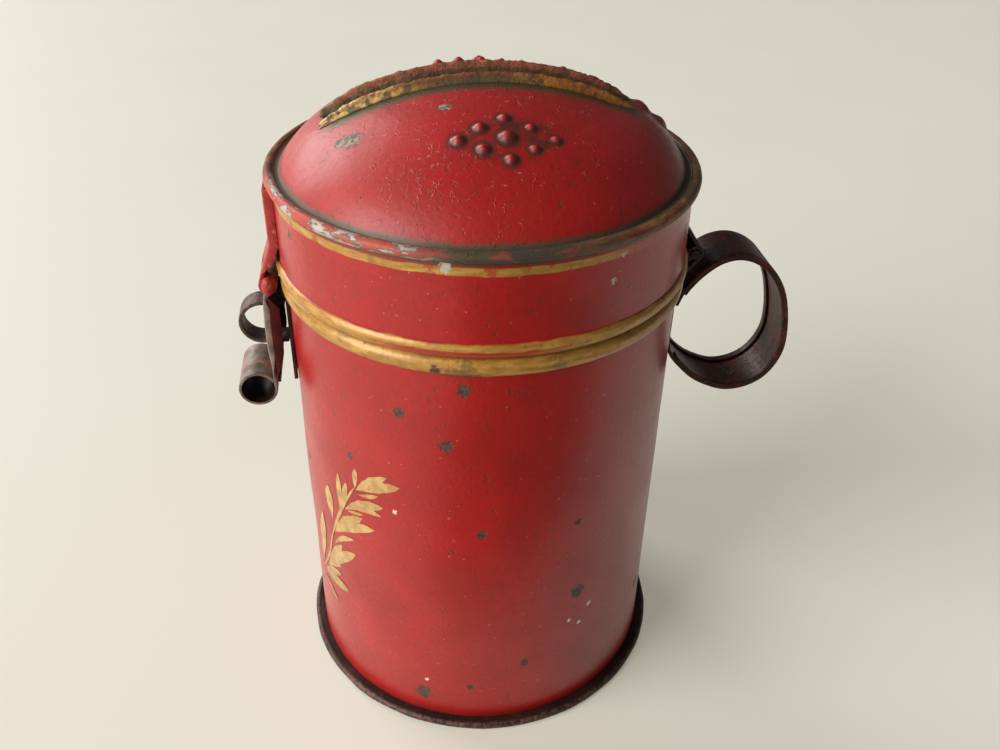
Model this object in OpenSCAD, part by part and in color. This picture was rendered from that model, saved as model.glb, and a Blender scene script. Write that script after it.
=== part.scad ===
// Tin money box: a drum with a hinged domed lid, a ring handle, and a hasp that drops over a staple.
// Millimetres. The origin is the centre of the underside, +Z is up.
// +X points to the hinge and the ring handle, -X to the hasp and its staple.

/* [Drum] */
// Outside diameter of the drum
body_d = 80; // [64:1:110]
// Height of the join between drum and lid above the table
join_z = 99.5; // [90:0.5:140]
// Thickness of the tinplate
sheet = 0.5; // [0.4:0.05:0.7]
// Distance that the folded base seam stands out from the drum
seam_out = 2.5; // [2:0.1:4]
// Distance that the bead on the drum stands out
bead_out = 1.3; // [0.9:0.1:1.4]
// Height of the bead on the drum
body_bead_h = 3.8; // [3.2:0.1:4.4]
// Height of the locating collar above the join
collar_up = 6; // [4:0.5:8]
// Depth of the locating collar below the join
collar_down = 9; // [6:0.5:20]

/* [Lid] */
// Distance that the lid's skirt stands out beyond the drum
lid_wide = 0.9; // [0.5:0.1:1]
// Distance that the bead on the lid stands out
lid_bead_out = 0.8; // [0.6:0.1:0.9]
// Height of the bead on the lid
lid_bead_h = 2.8; // [2.4:0.1:3.2]
// Height of the rolled rim's middle above the join
rim_up = 19.8; // [18.5:0.1:26]
// Diameter of the dome's rolled rim
rim_d = 2.2; // [2:0.1:2.8]
// Distance that the rolled rim stands out from the skirt
rim_out = 1.3; // [1.2:0.1:1.6]
// Width of the flat brim between dome and rolled rim
brim_w = 0.6; // [0.4:0.1:2]
// Rise of the dome above its brim
dome_h = 16.2; // [14.5:0.1:20]
// Radius of the dome's flat crown
crown_r = 64; // [58:1:80]
// Diameter of the middle boss of a rosette
boss_d = 3.4; // [2.8:0.1:4]
// Diameter of the eight bosses round it
small_boss_d = 2.5; // [2:0.1:3]
// Half length of a rosette along the slot
rosette_x = 8.4; // [7.6:0.1:10]
// Half width of a rosette across the slot
rosette_y = 4.9; // [4:0.1:5.4]
// Distance of a rosette's middle from the slot's middle line
rosette_off = 22.6; // [18:0.2:22.8]

/* [Coin slot] */
// Length of the coin slot
slot_len = 58; // [40:1:60]
// Width of the coin slot
slot_w = 4.6; // [3:0.1:6]
// Height of the raised lips along the slot
lip_h = 2; // [1:0.1:2.6]
// Thickness of the lips
lip_t = 0.8; // [0.5:0.1:1.2]

/* [Hinge] */
// Width of the hinge
hinge_w = 12; // [10:0.5:16]
// Height of the hinge pin above the join
hinge_rise = 0.2; // [0:0.1:0.5]
// Distance of the hinge pin out from the drum
hinge_out = 3.5; // [3.4:0.1:5]
// Diameter of the hinge pin and of the hasp pin
pin_d = 2; // [1.6:0.1:2.2]
// Thickness of the straps, leaves and hasp sheets
strap = 0.8; // [0.6:0.05:1]
// Height of the straps' upper ends above the join
strap_up = 16; // [10:0.5:17]
// Height above the join at which the straps bend away from the skirt
strap_bend = 6.2; // [6:0.1:8]

/* [Ring handle] */
// Height of the ring over all
ring_h = 34; // [30:0.5:36]
// Reach of the ring out from the drum
ring_out = 26; // [20:0.2:28]
// Width of the ring's band
ring_w = 12; // [8:0.5:16]
// Thickness of the ring's band
ring_t = 0.9; // [0.6:0.1:1.2]
// Distance of the ring's middle below the join
ring_drop = 17.3; // [17.2:0.1:40]
// Width of the hems folded along the band's two edges
hem_w = 1.8; // [1:0.1:3]

/* [Hasp and staple] */
// Width of the hasp and of its strap
hasp_w = 12; // [11:0.5:16]
// Distance of the hasp pin below the join
hasp_drop = 2.4; // [2:0.1:3]
// Distance of the hasp pin out from the drum
hasp_out = 3.5; // [3.5:0.1:4]
// Length of the hasp from its pin to the middle of its rolled grip
hasp_len = 24.5; // [23.5:0.5:32]
// Diameter of the rolled grip
grip_d = 8.2; // [6:0.1:10]
// Outside height of the staple
staple_h = 9.8; // [8.6:0.1:10.4]
// Reach of the staple out from the drum
staple_out = 10.8; // [10:0.1:11.4]
// Distance of the staple's middle below the join
staple_drop = 12.8; // [12.4:0.1:13.4]
// Width of the staple's strip
staple_w = 5; // [3:0.1:5.5]
// Thickness of the staple's strip
staple_t = 0.8; // [0.6:0.1:1.2]
// Width of the plate that carries the staple
plate_w = 10; // [7:0.5:12]
// Length of the plate that carries the staple
plate_h = 20.5; // [14:0.5:24]

/* [Clearances] */
// Gap between drum and lid at the join when the lid is shut
join_gap = 0.3; // [0.2:0.05:0.6]
// Gap in seams and under soldered pieces
fit = 0.05; // [0.02:0.01:0.1]
// Radial running clearance round the pins
pin_gap = 0.05; // [0.03:0.01:0.1]
// Clearance between pieces that pass each other
clear = 0.35; // [0.3:0.05:0.5]
// Clearance at the foot of the locating collar
collar_gap = 0.3; // [0.25:0.05:0.5]

/* [Hidden] */

$fn = 96;
paint_red = "firebrick";
worn_brown = "saddlebrown";
gilt = "goldenrod";
tin = "darkgray";
iron = "dimgray";

// Drum and base
body_r = body_d / 2;
body_in = body_r - sheet;
seam_r = body_r + seam_out;
seam_h = 3 * sheet + 2 * fit;
wall_z = sheet + fit;
body_top = join_z;
lid_bottom = join_z + join_gap;
bead_land = 0.15;
bead_foot = body_top - bead_land - body_bead_h;
// The collar leans in by this much for each millimetre of height, so that the lid swings clear of it.
collar_lean = 0.1;

// Lid: the brim lies above the middle of the rolled rim by this share of the rim's diameter.
brim_share = 0.2;
lid_r = body_r + lid_wide;
rim_z = join_z + rim_up;
rim_r = lid_r + rim_out - rim_d / 2;
wire_d = rim_d - 2 * sheet - 2 * fit;
skirt_top = rim_z - rim_d / 2 - fit;
brim_top = rim_z + brim_share * rim_d;
dome_r = rim_r - rim_d / 2 - brim_w;
dome_z = brim_top + dome_h - crown_r;
// Depth of the bosses' centres under the dome's face
boss_sink = 0.3;
// Share of a rosette's half lengths at which the four bosses between its tips lie
mid_share = 0.76;
// The lips run out flat at both ends: their upper edge follows a cylinder that rises this many lip heights.
lip_rises = 2.2;
lip_rise = lip_rises * lip_h;
lip_half = slot_len / 2;
slot_end_z = sqrt(crown_r * crown_r - lip_half * lip_half);
lip_sag = crown_r + lip_rise - slot_end_z;
lip_arc = (lip_half * lip_half + lip_sag * lip_sag) / (2 * lip_sag);
// The crown reaches just past the ends of the lips; a rounder shoulder joins it and runs down to the brim.
crown_edge = norm([lip_half, slot_w / 2 + lip_t]) + clear;
crown_turn = asin(crown_edge / crown_r);
crown_drop = crown_r * (1 - cos(crown_turn));
shoulder_chord = atan2(dome_h - crown_drop, dome_r - crown_edge);
foot_turn = 2 * shoulder_chord - crown_turn;
shoulder_r = (dome_r - crown_edge) / (sin(foot_turn) - sin(crown_turn));
shoulder_x = (crown_r - shoulder_r) * sin(crown_turn);
shoulder_z = dome_z + (crown_r - shoulder_r) * cos(crown_turn);

// Hinge and straps
pin_r = pin_d / 2;
bore_r = pin_r + pin_gap;
knuckle_r = bore_r + strap;
hinge_x = body_r + hinge_out;
hinge_z = join_z + hinge_rise;
hasp_x = body_r + hasp_out;
hasp_z = join_z - hasp_drop;
strap_top = join_z + strap_up;
bend_z = join_z + strap_bend;
sweep_r = knuckle_r + clear;
tongue_share = 0.4;
knuckle_gap = 0.15;
pin_over = 0.4;
// Depth to which a seated piece is drawn into the drum before the drum's round is cut out of it
seat = 1.5;

// Ring handle
ring_r = ring_out / 2;
ring_half = ring_h / 2 - ring_r;
ring_x = body_r + fit + ring_r;
ring_z = join_z - ring_drop;
hem_t = ring_t / 2;
// The hinge leaf on the drum ends where the ring curves away from the drum by the leaf's thickness.
leaf_foot = ring_z + ring_half + sqrt(ring_r * ring_r - pow(ring_r - strap - clear, 2));

// Hasp and staple: the outer sheet meets its knuckle at this share of the knuckle's radius.
flap_share = 0.324;
flap_x = hasp_x + flap_share * knuckle_r;
grip_r = grip_d / 2;
grip_x = flap_x + grip_r;
grip_z = hasp_z - hasp_len;
grip_slit = 0.5;
grip_slit_turn = 55;
staple_r = staple_h / 2;
staple_x = body_r + staple_out - staple_r;
staple_z = join_z - staple_drop;
plate_out = body_r + fit + strap;
// Share of the plate's length that lies below the staple's middle
plate_share = 0.62;
plate_z = staple_z - plate_share * plate_h;
slot_top = staple_z + staple_r + clear;
// The lower edge of the hasp's slot swings outside the staple's outermost point.
slot_swing = norm([staple_x - hasp_x, staple_z - hasp_z]) + staple_r + clear;
slot_bottom = hasp_z - slot_swing;
hasp_slot_w = staple_w + 2 * clear;
flap_top = hasp_z - sweep_r;

// Profile of a sheet wall with an outward half-round bead, drawn in radius and height.
module beaded_wall(wall_r, z0, z1, bead_z, bead_h, out) {
    bead_r = (bead_h * bead_h / 4 + out * out) / (2 * out);
    bead_x = wall_r + out - bead_r;
    difference() {
        union() {
            translate([wall_r - sheet, z0]) square([sheet, z1 - z0]);
            intersection() {
                translate([bead_x, bead_z]) circle(bead_r);
                translate([wall_r - sheet, bead_z - bead_h / 2]) square([sheet + out, bead_h]);
            }
        }
        translate([bead_x, bead_z]) circle(bead_r - sheet);
    }
}

// Drum of tinplate: its foot is turned out into the base seam, its top carries a bead.
module body_shell() {
    color(paint_red) rotate_extrude() {
        beaded_wall(body_r, wall_z, body_top, bead_foot + body_bead_h / 2, body_bead_h, bead_out);
        translate([body_in, wall_z]) square([seam_r - sheet - fit - body_in, sheet]);
    }
}

// Base disc, its edge folded up and over the drum's turned-out foot.
module base_plate() {
    color(worn_brown) rotate_extrude() {
        square([seam_r, sheet]);
        translate([seam_r - sheet, 0]) square([sheet, seam_h]);
        translate([body_r + fit, seam_h - sheet]) square([seam_out - fit, sheet]);
    }
}

// Collar soldered inside the drum: it stands up inside the lid and keeps the lid central.
module neck_collar() {
    foot_r = body_in - fit;
    join_r = body_in - collar_gap;
    top_r = join_r - collar_lean * collar_up;
    color(tin) rotate_extrude() polygon([
        [foot_r - sheet, join_z - collar_down],
        [foot_r, join_z - collar_down],
        [foot_r, join_z - collar_gap],
        [join_r, join_z],
        [top_r, join_z + collar_up],
        [top_r - sheet, join_z + collar_up],
        [join_r - sheet, join_z],
        [foot_r - sheet, join_z - collar_gap]
    ]);
}

// Skirt of the lid with its bead at the join.
module lid_skirt() {
    bead_z = lid_bottom + bead_land + lid_bead_h / 2;
    color(paint_red) rotate_extrude()
        beaded_wall(lid_r, lid_bottom, skirt_top, bead_z, lid_bead_h, lid_bead_out);
}

// Iron wire inside the dome's rolled edge.
module rim_wire() {
    color(iron) rotate_extrude() translate([rim_r, rim_z]) circle(wire_d / 2);
}

// Height of the crown's outer face at a place on it.
function dome_height(x, y) = dome_z + sqrt(crown_r * crown_r - x * x - y * y);

// Places of a rosette's bosses from its middle: four tips and four between them.
function rosette_tips() = [for (a = [0:90:270]) [rosette_x * cos(a), rosette_y * sin(a)]];
function rosette_mids() = [for (a = [45:90:315]) mid_share * [rosette_x * cos(a), rosette_y * sin(a)]];

// Balls that raise the front rosette, drawn smaller by one wall for its hollow side.
module rosette(wall) {
    translate([0, -rosette_off, dome_height(0, rosette_off) - boss_sink]) sphere(boss_d / 2 - wall);
    for (p = concat(rosette_tips(), rosette_mids()))
        translate([p[0], p[1] - rosette_off, dome_height(p[0], p[1] - rosette_off) - boss_sink])
            sphere(small_boss_d / 2 - wall);
}

// The front rosette and its twin behind the slot.
module rosettes(wall) {
    for (turn = [0, 180])
        rotate([0, 0, turn]) rosette(wall);
}

// Rolled edge of the dome, or the channel inside it.
module rim_roll(r) {
    rotate_extrude() translate([rim_r, rim_z]) circle(r);
}

// Half section of the dome, filled and drawn smaller by one wall for its hollow side.
module dome_section(wall) {
    edge = crown_edge * (crown_r - wall) / crown_r;
    foot = brim_top - sheet - wall;
    intersection() {
        translate([0, dome_z]) circle(crown_r - wall);
        translate([0, foot]) square([edge, 2 * dome_h]);
    }
    intersection() {
        translate([shoulder_x, shoulder_z]) circle(shoulder_r - wall);
        translate([edge, foot]) square([body_r, 2 * dome_h]);
    }
}

// Dome of the lid: raised rosettes, the coin slot, and an edge rolled over the rim wire.
module lid_dome() {
    color(paint_red) difference() {
        union() {
            rotate_extrude() dome_section(0);
            rosettes(0);
            translate([0, 0, brim_top - sheet]) cylinder(r = rim_r, h = sheet);
            rim_roll(rim_d / 2);
        }
        rotate_extrude() dome_section(sheet);
        rosettes(sheet);
        translate([-lip_half, -slot_w / 2, brim_top]) cube([slot_len, slot_w, 2 * dome_h]);
        rim_roll(rim_d / 2 - sheet);
    }
}

// Strip that stands along the front edge of the slot and runs out at both ends.
module slot_lip() {
    intersection() {
        difference() {
            translate([0, 0, dome_z]) sphere(crown_r + lip_h);
            translate([0, 0, dome_z]) sphere(crown_r + fit);
        }
        translate([0, 0, dome_z + crown_r + lip_rise - lip_arc]) rotate([90, 0, 0])
            cylinder(r = lip_arc, h = body_d, center = true, $fn = 180);
        translate([-lip_half, -slot_w / 2 - lip_t, brim_top]) cube([slot_len, lip_t, 2 * dome_h]);
    }
}

module slot_lip_front() {
    color(gilt) slot_lip();
}

module slot_lip_back() {
    color(gilt) rotate([0, 0, 180]) slot_lip();
}

// Outline in outward distance and height, extruded across a width and centred on it.
module across(width) {
    rotate([90, 0, 0]) linear_extrude(width, center = true) children();
}

// Round bar or hole across the part at a pin's place.
module pin_bar(x, z, r, width) {
    translate([x, 0, z]) rotate([90, 0, 0]) cylinder(r = r, h = width, center = true);
}

// Strap on the lid's skirt: it bends away above the beads and runs down to a pin outside the drum.
module lid_strap(pin_x, pin_z, width) {
    difference() {
        across(width) polygon([
            [lid_r - seat, strap_top],
            [lid_r + fit + strap, strap_top],
            [lid_r + fit + strap, bend_z],
            [pin_x + strap / 2, pin_z],
            [pin_x - strap / 2, pin_z],
            [lid_r + fit, bend_z],
            [lid_r - seat, bend_z]
        ]);
        translate([0, 0, lid_bottom]) cylinder(r = lid_r + fit, h = rim_up);
    }
}

// Lid half of the hinge, with the middle knuckle.
module hinge_strap() {
    tongue = tongue_share * hinge_w;
    color(worn_brown) difference() {
        union() {
            difference() {
                lid_strap(hinge_x, hinge_z, hinge_w);
                pin_bar(hinge_x, hinge_z, sweep_r, 2 * hinge_w);
            }
            intersection() {
                lid_strap(hinge_x, hinge_z, tongue);
                pin_bar(hinge_x, hinge_z, 2 * sweep_r, tongue);
            }
            pin_bar(hinge_x, hinge_z, knuckle_r, tongue);
        }
        pin_bar(hinge_x, hinge_z, bore_r, 2 * hinge_w);
    }
}

// Drum half of the hinge, with the two outer knuckles.
module hinge_leaf() {
    tongue = tongue_share * hinge_w + 2 * knuckle_gap;
    leaf_bend = bead_foot - 2 * strap - clear;
    color(worn_brown) difference() {
        union() {
            across(hinge_w) polygon([
                [body_r - seat, leaf_foot],
                [body_r + fit + strap, leaf_foot],
                [body_r + fit + strap, leaf_bend],
                [hinge_x + strap / 2, hinge_z],
                [hinge_x - strap / 2, hinge_z],
                [body_r + fit, leaf_bend + strap],
                [body_r - seat, leaf_bend + strap]
            ]);
            pin_bar(hinge_x, hinge_z, knuckle_r, hinge_w);
        }
        cylinder(r = body_r + fit, h = join_z);
        pin_bar(hinge_x, hinge_z, sweep_r, tongue);
        pin_bar(hinge_x, hinge_z, bore_r, 2 * hinge_w);
    }
}

module hinge_pin() {
    color(iron) pin_bar(hinge_x, hinge_z, pin_r, hinge_w + 2 * pin_over);
}

// Long-round outline of the ring, drawn to a given reach from its two centres.
module ring_outline(r) {
    for (s = [-1, 1])
        translate([ring_x, ring_z + s * ring_half]) circle(r);
    translate([ring_x - r, ring_z - ring_half]) square([2 * r, 2 * ring_half]);
}

// Finger ring of flat band with hemmed edges, seated on the drum by a solder saddle.
module ring_handle() {
    color(worn_brown) {
        across(ring_w) difference() {
            ring_outline(ring_r);
            ring_outline(ring_r - ring_t);
        }
        for (s = [-1, 1])
            translate([0, s * (ring_w - hem_w) / 2, 0]) across(hem_w) difference() {
                ring_outline(ring_r - ring_t);
                ring_outline(ring_r - ring_t - hem_t);
            }
        difference() {
            across(ring_w) translate([body_r - seat, ring_z - ring_half])
                square([seat + fit + ring_t / 2, 2 * ring_half]);
            cylinder(r = body_r + fit, h = join_z);
        }
    }
}

// Curved plate soldered to the drum behind the staple.
module staple_plate() {
    color(worn_brown) intersection() {
        translate([0, 0, plate_z]) difference() {
            cylinder(r = plate_out, h = plate_h);
            cylinder(r = body_r + fit, h = plate_h);
        }
        translate([-plate_out, -plate_w / 2, 0]) cube([body_r, plate_w, join_z]);
    }
}

// Staple: a strip bent to a loop, its two legs standing on the plate.
module staple_loop() {
    color(worn_brown) mirror([1, 0, 0]) difference() {
        across(staple_w) {
            difference() {
                union() {
                    translate([staple_x, staple_z]) circle(staple_r);
                    translate([body_r, staple_z - staple_r]) square([staple_x - body_r, staple_h]);
                }
                translate([staple_x, staple_z]) circle(staple_r - staple_t);
                translate([0, staple_z - staple_r + staple_t])
                    square([staple_x, staple_h - 2 * staple_t]);
            }
        }
        cylinder(r = plate_out + fit, h = join_z);
    }
}

// Lid half of the hasp's joint, with the two outer knuckles.
module hasp_strap() {
    tongue = tongue_share * hasp_w + 2 * knuckle_gap;
    color(paint_red) mirror([1, 0, 0]) difference() {
        union() {
            lid_strap(hasp_x, hasp_z, hasp_w);
            pin_bar(hasp_x, hasp_z, knuckle_r, hasp_w);
        }
        pin_bar(hasp_x, hasp_z, sweep_r, tongue);
        pin_bar(hasp_x, hasp_z, bore_r, 2 * hasp_w);
    }
}

module hasp_pin() {
    color(iron) mirror([1, 0, 0]) pin_bar(hasp_x, hasp_z, pin_r, hasp_w + 2 * pin_over);
}

// Hole in the hasp that drops over the staple.
module hasp_slot() {
    translate([hasp_x - body_r / 2, -hasp_slot_w / 2, slot_bottom])
        cube([body_r, hasp_slot_w, slot_top - slot_bottom]);
}

// Outer sheet of the hasp, curled round the pin above and rolled outward to a grip below.
module hasp_flap() {
    tongue = tongue_share * hasp_w;
    color(tin) mirror([1, 0, 0]) difference() {
        union() {
            across(hasp_w) {
                translate([flap_x, grip_z]) square([strap, flap_top - grip_z]);
                translate([grip_x, grip_z]) difference() {
                    circle(grip_r);
                    circle(grip_r - strap);
                    rotate(180 - grip_slit_turn) square([grip_d, grip_slit]);
                }
            }
            across(tongue) translate([flap_x, grip_z]) square([strap, hasp_z - grip_z]);
            pin_bar(hasp_x, hasp_z, knuckle_r, tongue);
        }
        hasp_slot();
        pin_bar(hasp_x, hasp_z, bore_r, 2 * hasp_w);
    }
}

// Inner sheet that doubles the hasp.
module hasp_backing() {
    color(worn_brown) mirror([1, 0, 0]) difference() {
        across(hasp_w) translate([flap_x - fit - strap, grip_z]) square([strap, flap_top - grip_z]);
        hasp_slot();
    }
}

body_shell();
base_plate();
neck_collar();
hinge_leaf();
hinge_pin();
ring_handle();
staple_plate();
staple_loop();
lid_skirt();
lid_dome();
rim_wire();
slot_lip_front();
slot_lip_back();
hinge_strap();
hasp_strap();
hasp_pin();
hasp_flap();
hasp_backing();
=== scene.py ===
# %% [markdown]
# A painted tin money box: a red drum, a domed lid with a coin slot, a finger ring and a hasp.
# The packed model gives the exact sheets and joints. This lesson shapes each sheet again with
# the softness of hand work, paints it with worn varnish and gilding, and lights it.

# %% Load the frame
import math
import bmesh
import bpy
from mathutils import Matrix, Vector, noise


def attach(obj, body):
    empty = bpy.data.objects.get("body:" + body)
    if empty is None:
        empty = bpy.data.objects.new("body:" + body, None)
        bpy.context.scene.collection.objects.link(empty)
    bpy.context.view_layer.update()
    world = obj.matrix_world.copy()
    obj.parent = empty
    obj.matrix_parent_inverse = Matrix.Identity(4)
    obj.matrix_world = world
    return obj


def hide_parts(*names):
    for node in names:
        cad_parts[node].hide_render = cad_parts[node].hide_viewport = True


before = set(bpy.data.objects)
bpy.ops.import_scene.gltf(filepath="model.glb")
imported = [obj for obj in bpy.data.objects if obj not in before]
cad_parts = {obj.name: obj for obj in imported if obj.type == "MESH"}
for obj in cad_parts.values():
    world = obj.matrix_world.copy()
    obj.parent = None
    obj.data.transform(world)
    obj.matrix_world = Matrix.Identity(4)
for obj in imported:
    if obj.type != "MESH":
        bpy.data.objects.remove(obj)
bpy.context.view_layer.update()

print("nodes in the frame:", len(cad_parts))

# %% [markdown]
# The tinsmith worked from one set of measures. They are the same as in the part's source,
# in millimetres, so that every new sheet falls on the solid that it stands for.

# %% The tinsmith's measures
MM = 0.001
SHEET = 0.5
DRUM_R = 40.0
JOIN = 99.5
LID_R = 40.9
LID_FOOT = 99.8
RIM_R, RIM_Z, RIM_ROLL = 41.1, 119.3, 1.1
BRIM_R, BRIM_Z = 39.4, 119.74
CROWN_R, CROWN_Z, CROWN_EDGE = 64.0, 71.94, 29.52
SLOT_LEFT, SLOT_RIGHT, SLOT_SIDE = -30.2, 28.2, 2.3
HINGE = (43.5, 99.7)
HASP = (43.5, 97.1)
STRAP, SOLDER = 0.8, 0.05
KNUCKLE = 1.45
STAPLE = (45.9, 86.7)
crown_turn = math.asin(CROWN_EDGE / CROWN_R)
crown_top = CROWN_Z + CROWN_R
print("top of the dome at", round(crown_top, 2), "mm")

# %% [markdown]
# Most of the box is turned work: a line is drawn as radius and height and swept round the axis.
# A few helpers draw the line, sweep it with spin, and give the sheet its thickness with solidify.
# An outline could also be a curve with a Screw modifier; spin keeps every step visible here.

# %% Helpers for turned sheet
def arc(centre, radius, start, end, steps):
    """Points along an arc between two angles in degrees."""
    angles = [math.radians(start + (end - start) * i / steps) for i in range(steps + 1)]
    return [(centre[0] + radius * math.cos(a), centre[1] + radius * math.sin(a)) for a in angles]


def line(start, end, steps):
    """Points along a straight line, both ends included."""
    return [tuple(a + (b - a) * i / steps for a, b in zip(start, end)) for i in range(steps + 1)]


def ramp(value, start, end):
    """Goes from 0 at start to 1 at end and stays there."""
    return max(0.0, min(1.0, (value - start) / (end - start)))


def chain(bm, points):
    """A row of vertices joined by edges."""
    verts = [bm.verts.new(point) for point in points]
    return verts, [bm.edges.new(pair) for pair in zip(verts, verts[1:])]


def turned(profile, steps=192):
    """A profile of radius and height swept once round the axis, faces pointing out."""
    bm = bmesh.new()
    verts, edges = chain(bm, [(r, 0, z) for r, z in profile])
    bmesh.ops.spin(bm, geom=verts + edges, cent=(0, 0, 0), axis=(0, 0, 1), dvec=(0, 0, 0),
                   angle=math.tau, steps=steps, use_merge=True, use_duplicate=False)
    bmesh.ops.remove_doubles(bm, verts=bm.verts, dist=1e-4)
    bmesh.ops.recalc_face_normals(bm, faces=bm.faces)
    return bm


def face_out(bm, away):
    """Turns all faces over if most of them do not point the way that away gives."""
    bm.normal_update()
    if sum(f.normal.dot(away(f.calc_center_median())) * f.calc_area() for f in bm.faces) < 0:
        bmesh.ops.reverse_faces(bm, faces=bm.faces)


def from_axis(point):
    return Vector((point.x, point.y, 0))


def wall(bm, thickness=SHEET):
    """Gives a skin its thickness on the side away from its normals."""
    bmesh.ops.solidify(bm, geom=bm.faces[:], thickness=thickness)


def unevenness(point, depth, size):
    """How far hand work has pushed the sheet at this place, in millimetres."""
    return depth * (noise.noise(point / size) + 0.4 * noise.noise(point / (0.4 * size)))


def hand_work(bm, depth, size, fade):
    """Shallow unevenness along the normals; fade gives each vertex its share."""
    bm.normal_update()
    moves = [v.normal * unevenness(v.co, depth, size) * fade(v.co) for v in bm.verts]
    for v, move in zip(bm.verts, moves):
        v.co += move


def finish_piece(bm, name, body, slot, *nodes, sharp=38):
    """Writes the mesh in metres, lets it stand for its CAD nodes and ride on its body."""
    bmesh.ops.scale(bm, vec=(MM, MM, MM), verts=bm.verts)
    mesh = bpy.data.meshes.new(name)
    bm.to_mesh(mesh)
    bm.free()
    mesh.shade_smooth()
    mesh.set_sharp_from_angle(angle=math.radians(sharp))
    piece = bpy.data.objects.new(name, mesh)
    bpy.context.scene.collection.objects.link(piece)
    if nodes:
        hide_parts(*nodes)
    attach(piece, body)
    print(name, "has", len(mesh.polygons), "faces")
    return piece


print("a quarter bend in two steps:", arc((0, 0), 1.0, 0, 90, 2))

# %% [markdown]
# The drum is one sheet of tinplate. Its foot is turned out to be held by the base seam, and a
# half-round bead under the join stiffens its mouth. Only the outer face is drawn; the wall then
# grows inwards. A little noise along the wall takes away the machine-made straightness.

# %% Drum
def bead(wall_r, out, foot, height, steps):
    """Arc of a bead that stands out from a wall."""
    radius = (height * height / 4 + out * out) / (2 * out)
    spread = math.degrees(math.asin(height / 2 / radius))
    return arc((wall_r + out - radius, foot + height / 2), radius, -spread, spread, steps)


DRUM_BEAD_FOOT, DRUM_BEAD_H, DRUM_BEAD_OUT = 95.55, 3.8, 1.3
FOOT_BEND, FOOT_OUT, FOOT_FLAT = 0.45, 1.9, 1.0
foot_z = 2 * SHEET + SOLDER
drum_line = [(DRUM_R + FOOT_OUT, foot_z), (DRUM_R + FOOT_FLAT, foot_z)]
drum_line += arc((DRUM_R + FOOT_BEND, foot_z + FOOT_BEND), FOOT_BEND, 270, 180, 5)
drum_line += line((DRUM_R, foot_z + 2), (DRUM_R, DRUM_BEAD_FOOT - 0.3), 40)
drum_line += bead(DRUM_R, DRUM_BEAD_OUT, DRUM_BEAD_FOOT, DRUM_BEAD_H, 14) + [(DRUM_R, JOIN)]
drum_bm = turned(drum_line)
face_out(drum_bm, from_axis)
DRUM_WORK = (0.16, 21)
CALM_FOOT, CALM_TOP, CALM_SHARE = (4, 18), (97, 83), 0.12


def drum_fade(p):
    """Share of the unevenness at this height: small at the foot and the bead, full between them."""
    return min(ramp(p.z, *CALM_FOOT), ramp(p.z, *CALM_TOP)) + CALM_SHARE


hand_work(drum_bm, *DRUM_WORK, drum_fade)
wall(drum_bm)
drum = finish_piece(drum_bm, "drum", "box", "red_paint", "body_shell")

# %% [markdown]
# The leaf spray at the hasp side was painted with a flat brush, one or two strokes for each leaf. Each
# stroke is a small grid, drawn out from its root to its tip with a bow and a swelling width, on the drum
# rolled out flat: the arc from the hasp's line, and the height. Rolled back, it lies on the drum as a film
# of paint. The half of the spray that cannot be seen is taken as the mirror image.

# %% Leaf spray
LEAVES = [  # root, tip, bow, half width
    ((30.8, 61.7), (41.9, 67.0), 0.5, 1.3), ((30.8, 61.7), (39.0, 68.5), 0.3, 1.1),
    ((30.6, 62.0), (31.1, 67.3), 0.0, 0.7), ((25.0, 52.3), (25.4, 63.0), 0.0, 0.85),
    ((25.0, 52.3), (28.0, 62.2), -0.2, 0.85), ((21.5, 47.6), (20.5, 56.6), 0.4, 1.5),
    ((31.2, 60.7), (36.8, 62.9), -0.2, 0.5), ((27.8, 54.4), (32.4, 55.9), -0.1, 0.4),
    ((26.8, 54.1), (37.9, 60.3), 1.0, 1.25), ((26.8, 54.1), (37.3, 57.8), 1.6, 1.0),
    ((21.7, 44.1), (32.2, 54.8), 0.8, 1.35), ((21.7, 44.1), (35.4, 53.2), 1.4, 1.4),
    ((21.1, 40.2), (29.2, 46.9), 0.9, 0.65), ((16.4, 30.0), (24.4, 42.2), 0.2, 1.2),
    ((16.4, 30.0), (29.1, 42.7), 0.6, 1.5), ((16.3, 29.8), (23.2, 34.9), 0.3, 0.5),
    ((13.7, 26.6), (22.6, 32.1), 0.3, 1.05), ((13.7, 26.6), (25.4, 28.8), 0.4, 1.45),
    ((12.6, 24.1), (19.9, 21.3), 0.2, 0.9), ((12.2, 27.5), (16.2, 46.0), 0.0, 1.7),
    ((12.7, 26.8), (20.4, 43.2), -1.1, 0.42), ((19.8, 40.5), (30.8, 62.6), 0.6, 0.45)]
FILM, FILM_LIFT = 0.03, 0.06
LEAF_BELLY = 0.249


def brush_stroke(bm, root, tip, bow, half, side, lift):
    """One stroke of gilding, pointed at both ends."""
    root, tip = Vector(root), Vector(tip)
    run = tip - root
    square = Vector((-run.y, run.x)).normalized()
    for v in bmesh.ops.create_grid(bm, x_segments=16, y_segments=4, size=1.0)["verts"]:
        along = (v.co.x + 1) / 2
        swell = 4 * along * (1 - along)
        belly = swell ** 0.75 if half < 0.5 else along ** 1.2 * (1 - along) ** 0.85 / LEAF_BELLY
        ragged = 1 + 0.25 * noise.noise((root.x + 9 * along, tip.y, 3 * v.co.y))
        flat = root + run * along + square * (bow * swell + half * belly * v.co.y * ragged)
        turn = math.pi + side * flat.x / DRUM_R
        on_wall = Vector((DRUM_R * math.cos(turn), DRUM_R * math.sin(turn), flat.y))
        radius = DRUM_R + unevenness(on_wall, *DRUM_WORK) * drum_fade(on_wall) + lift
        v.co = (radius * math.cos(turn), radius * math.sin(turn), flat.y)


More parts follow.
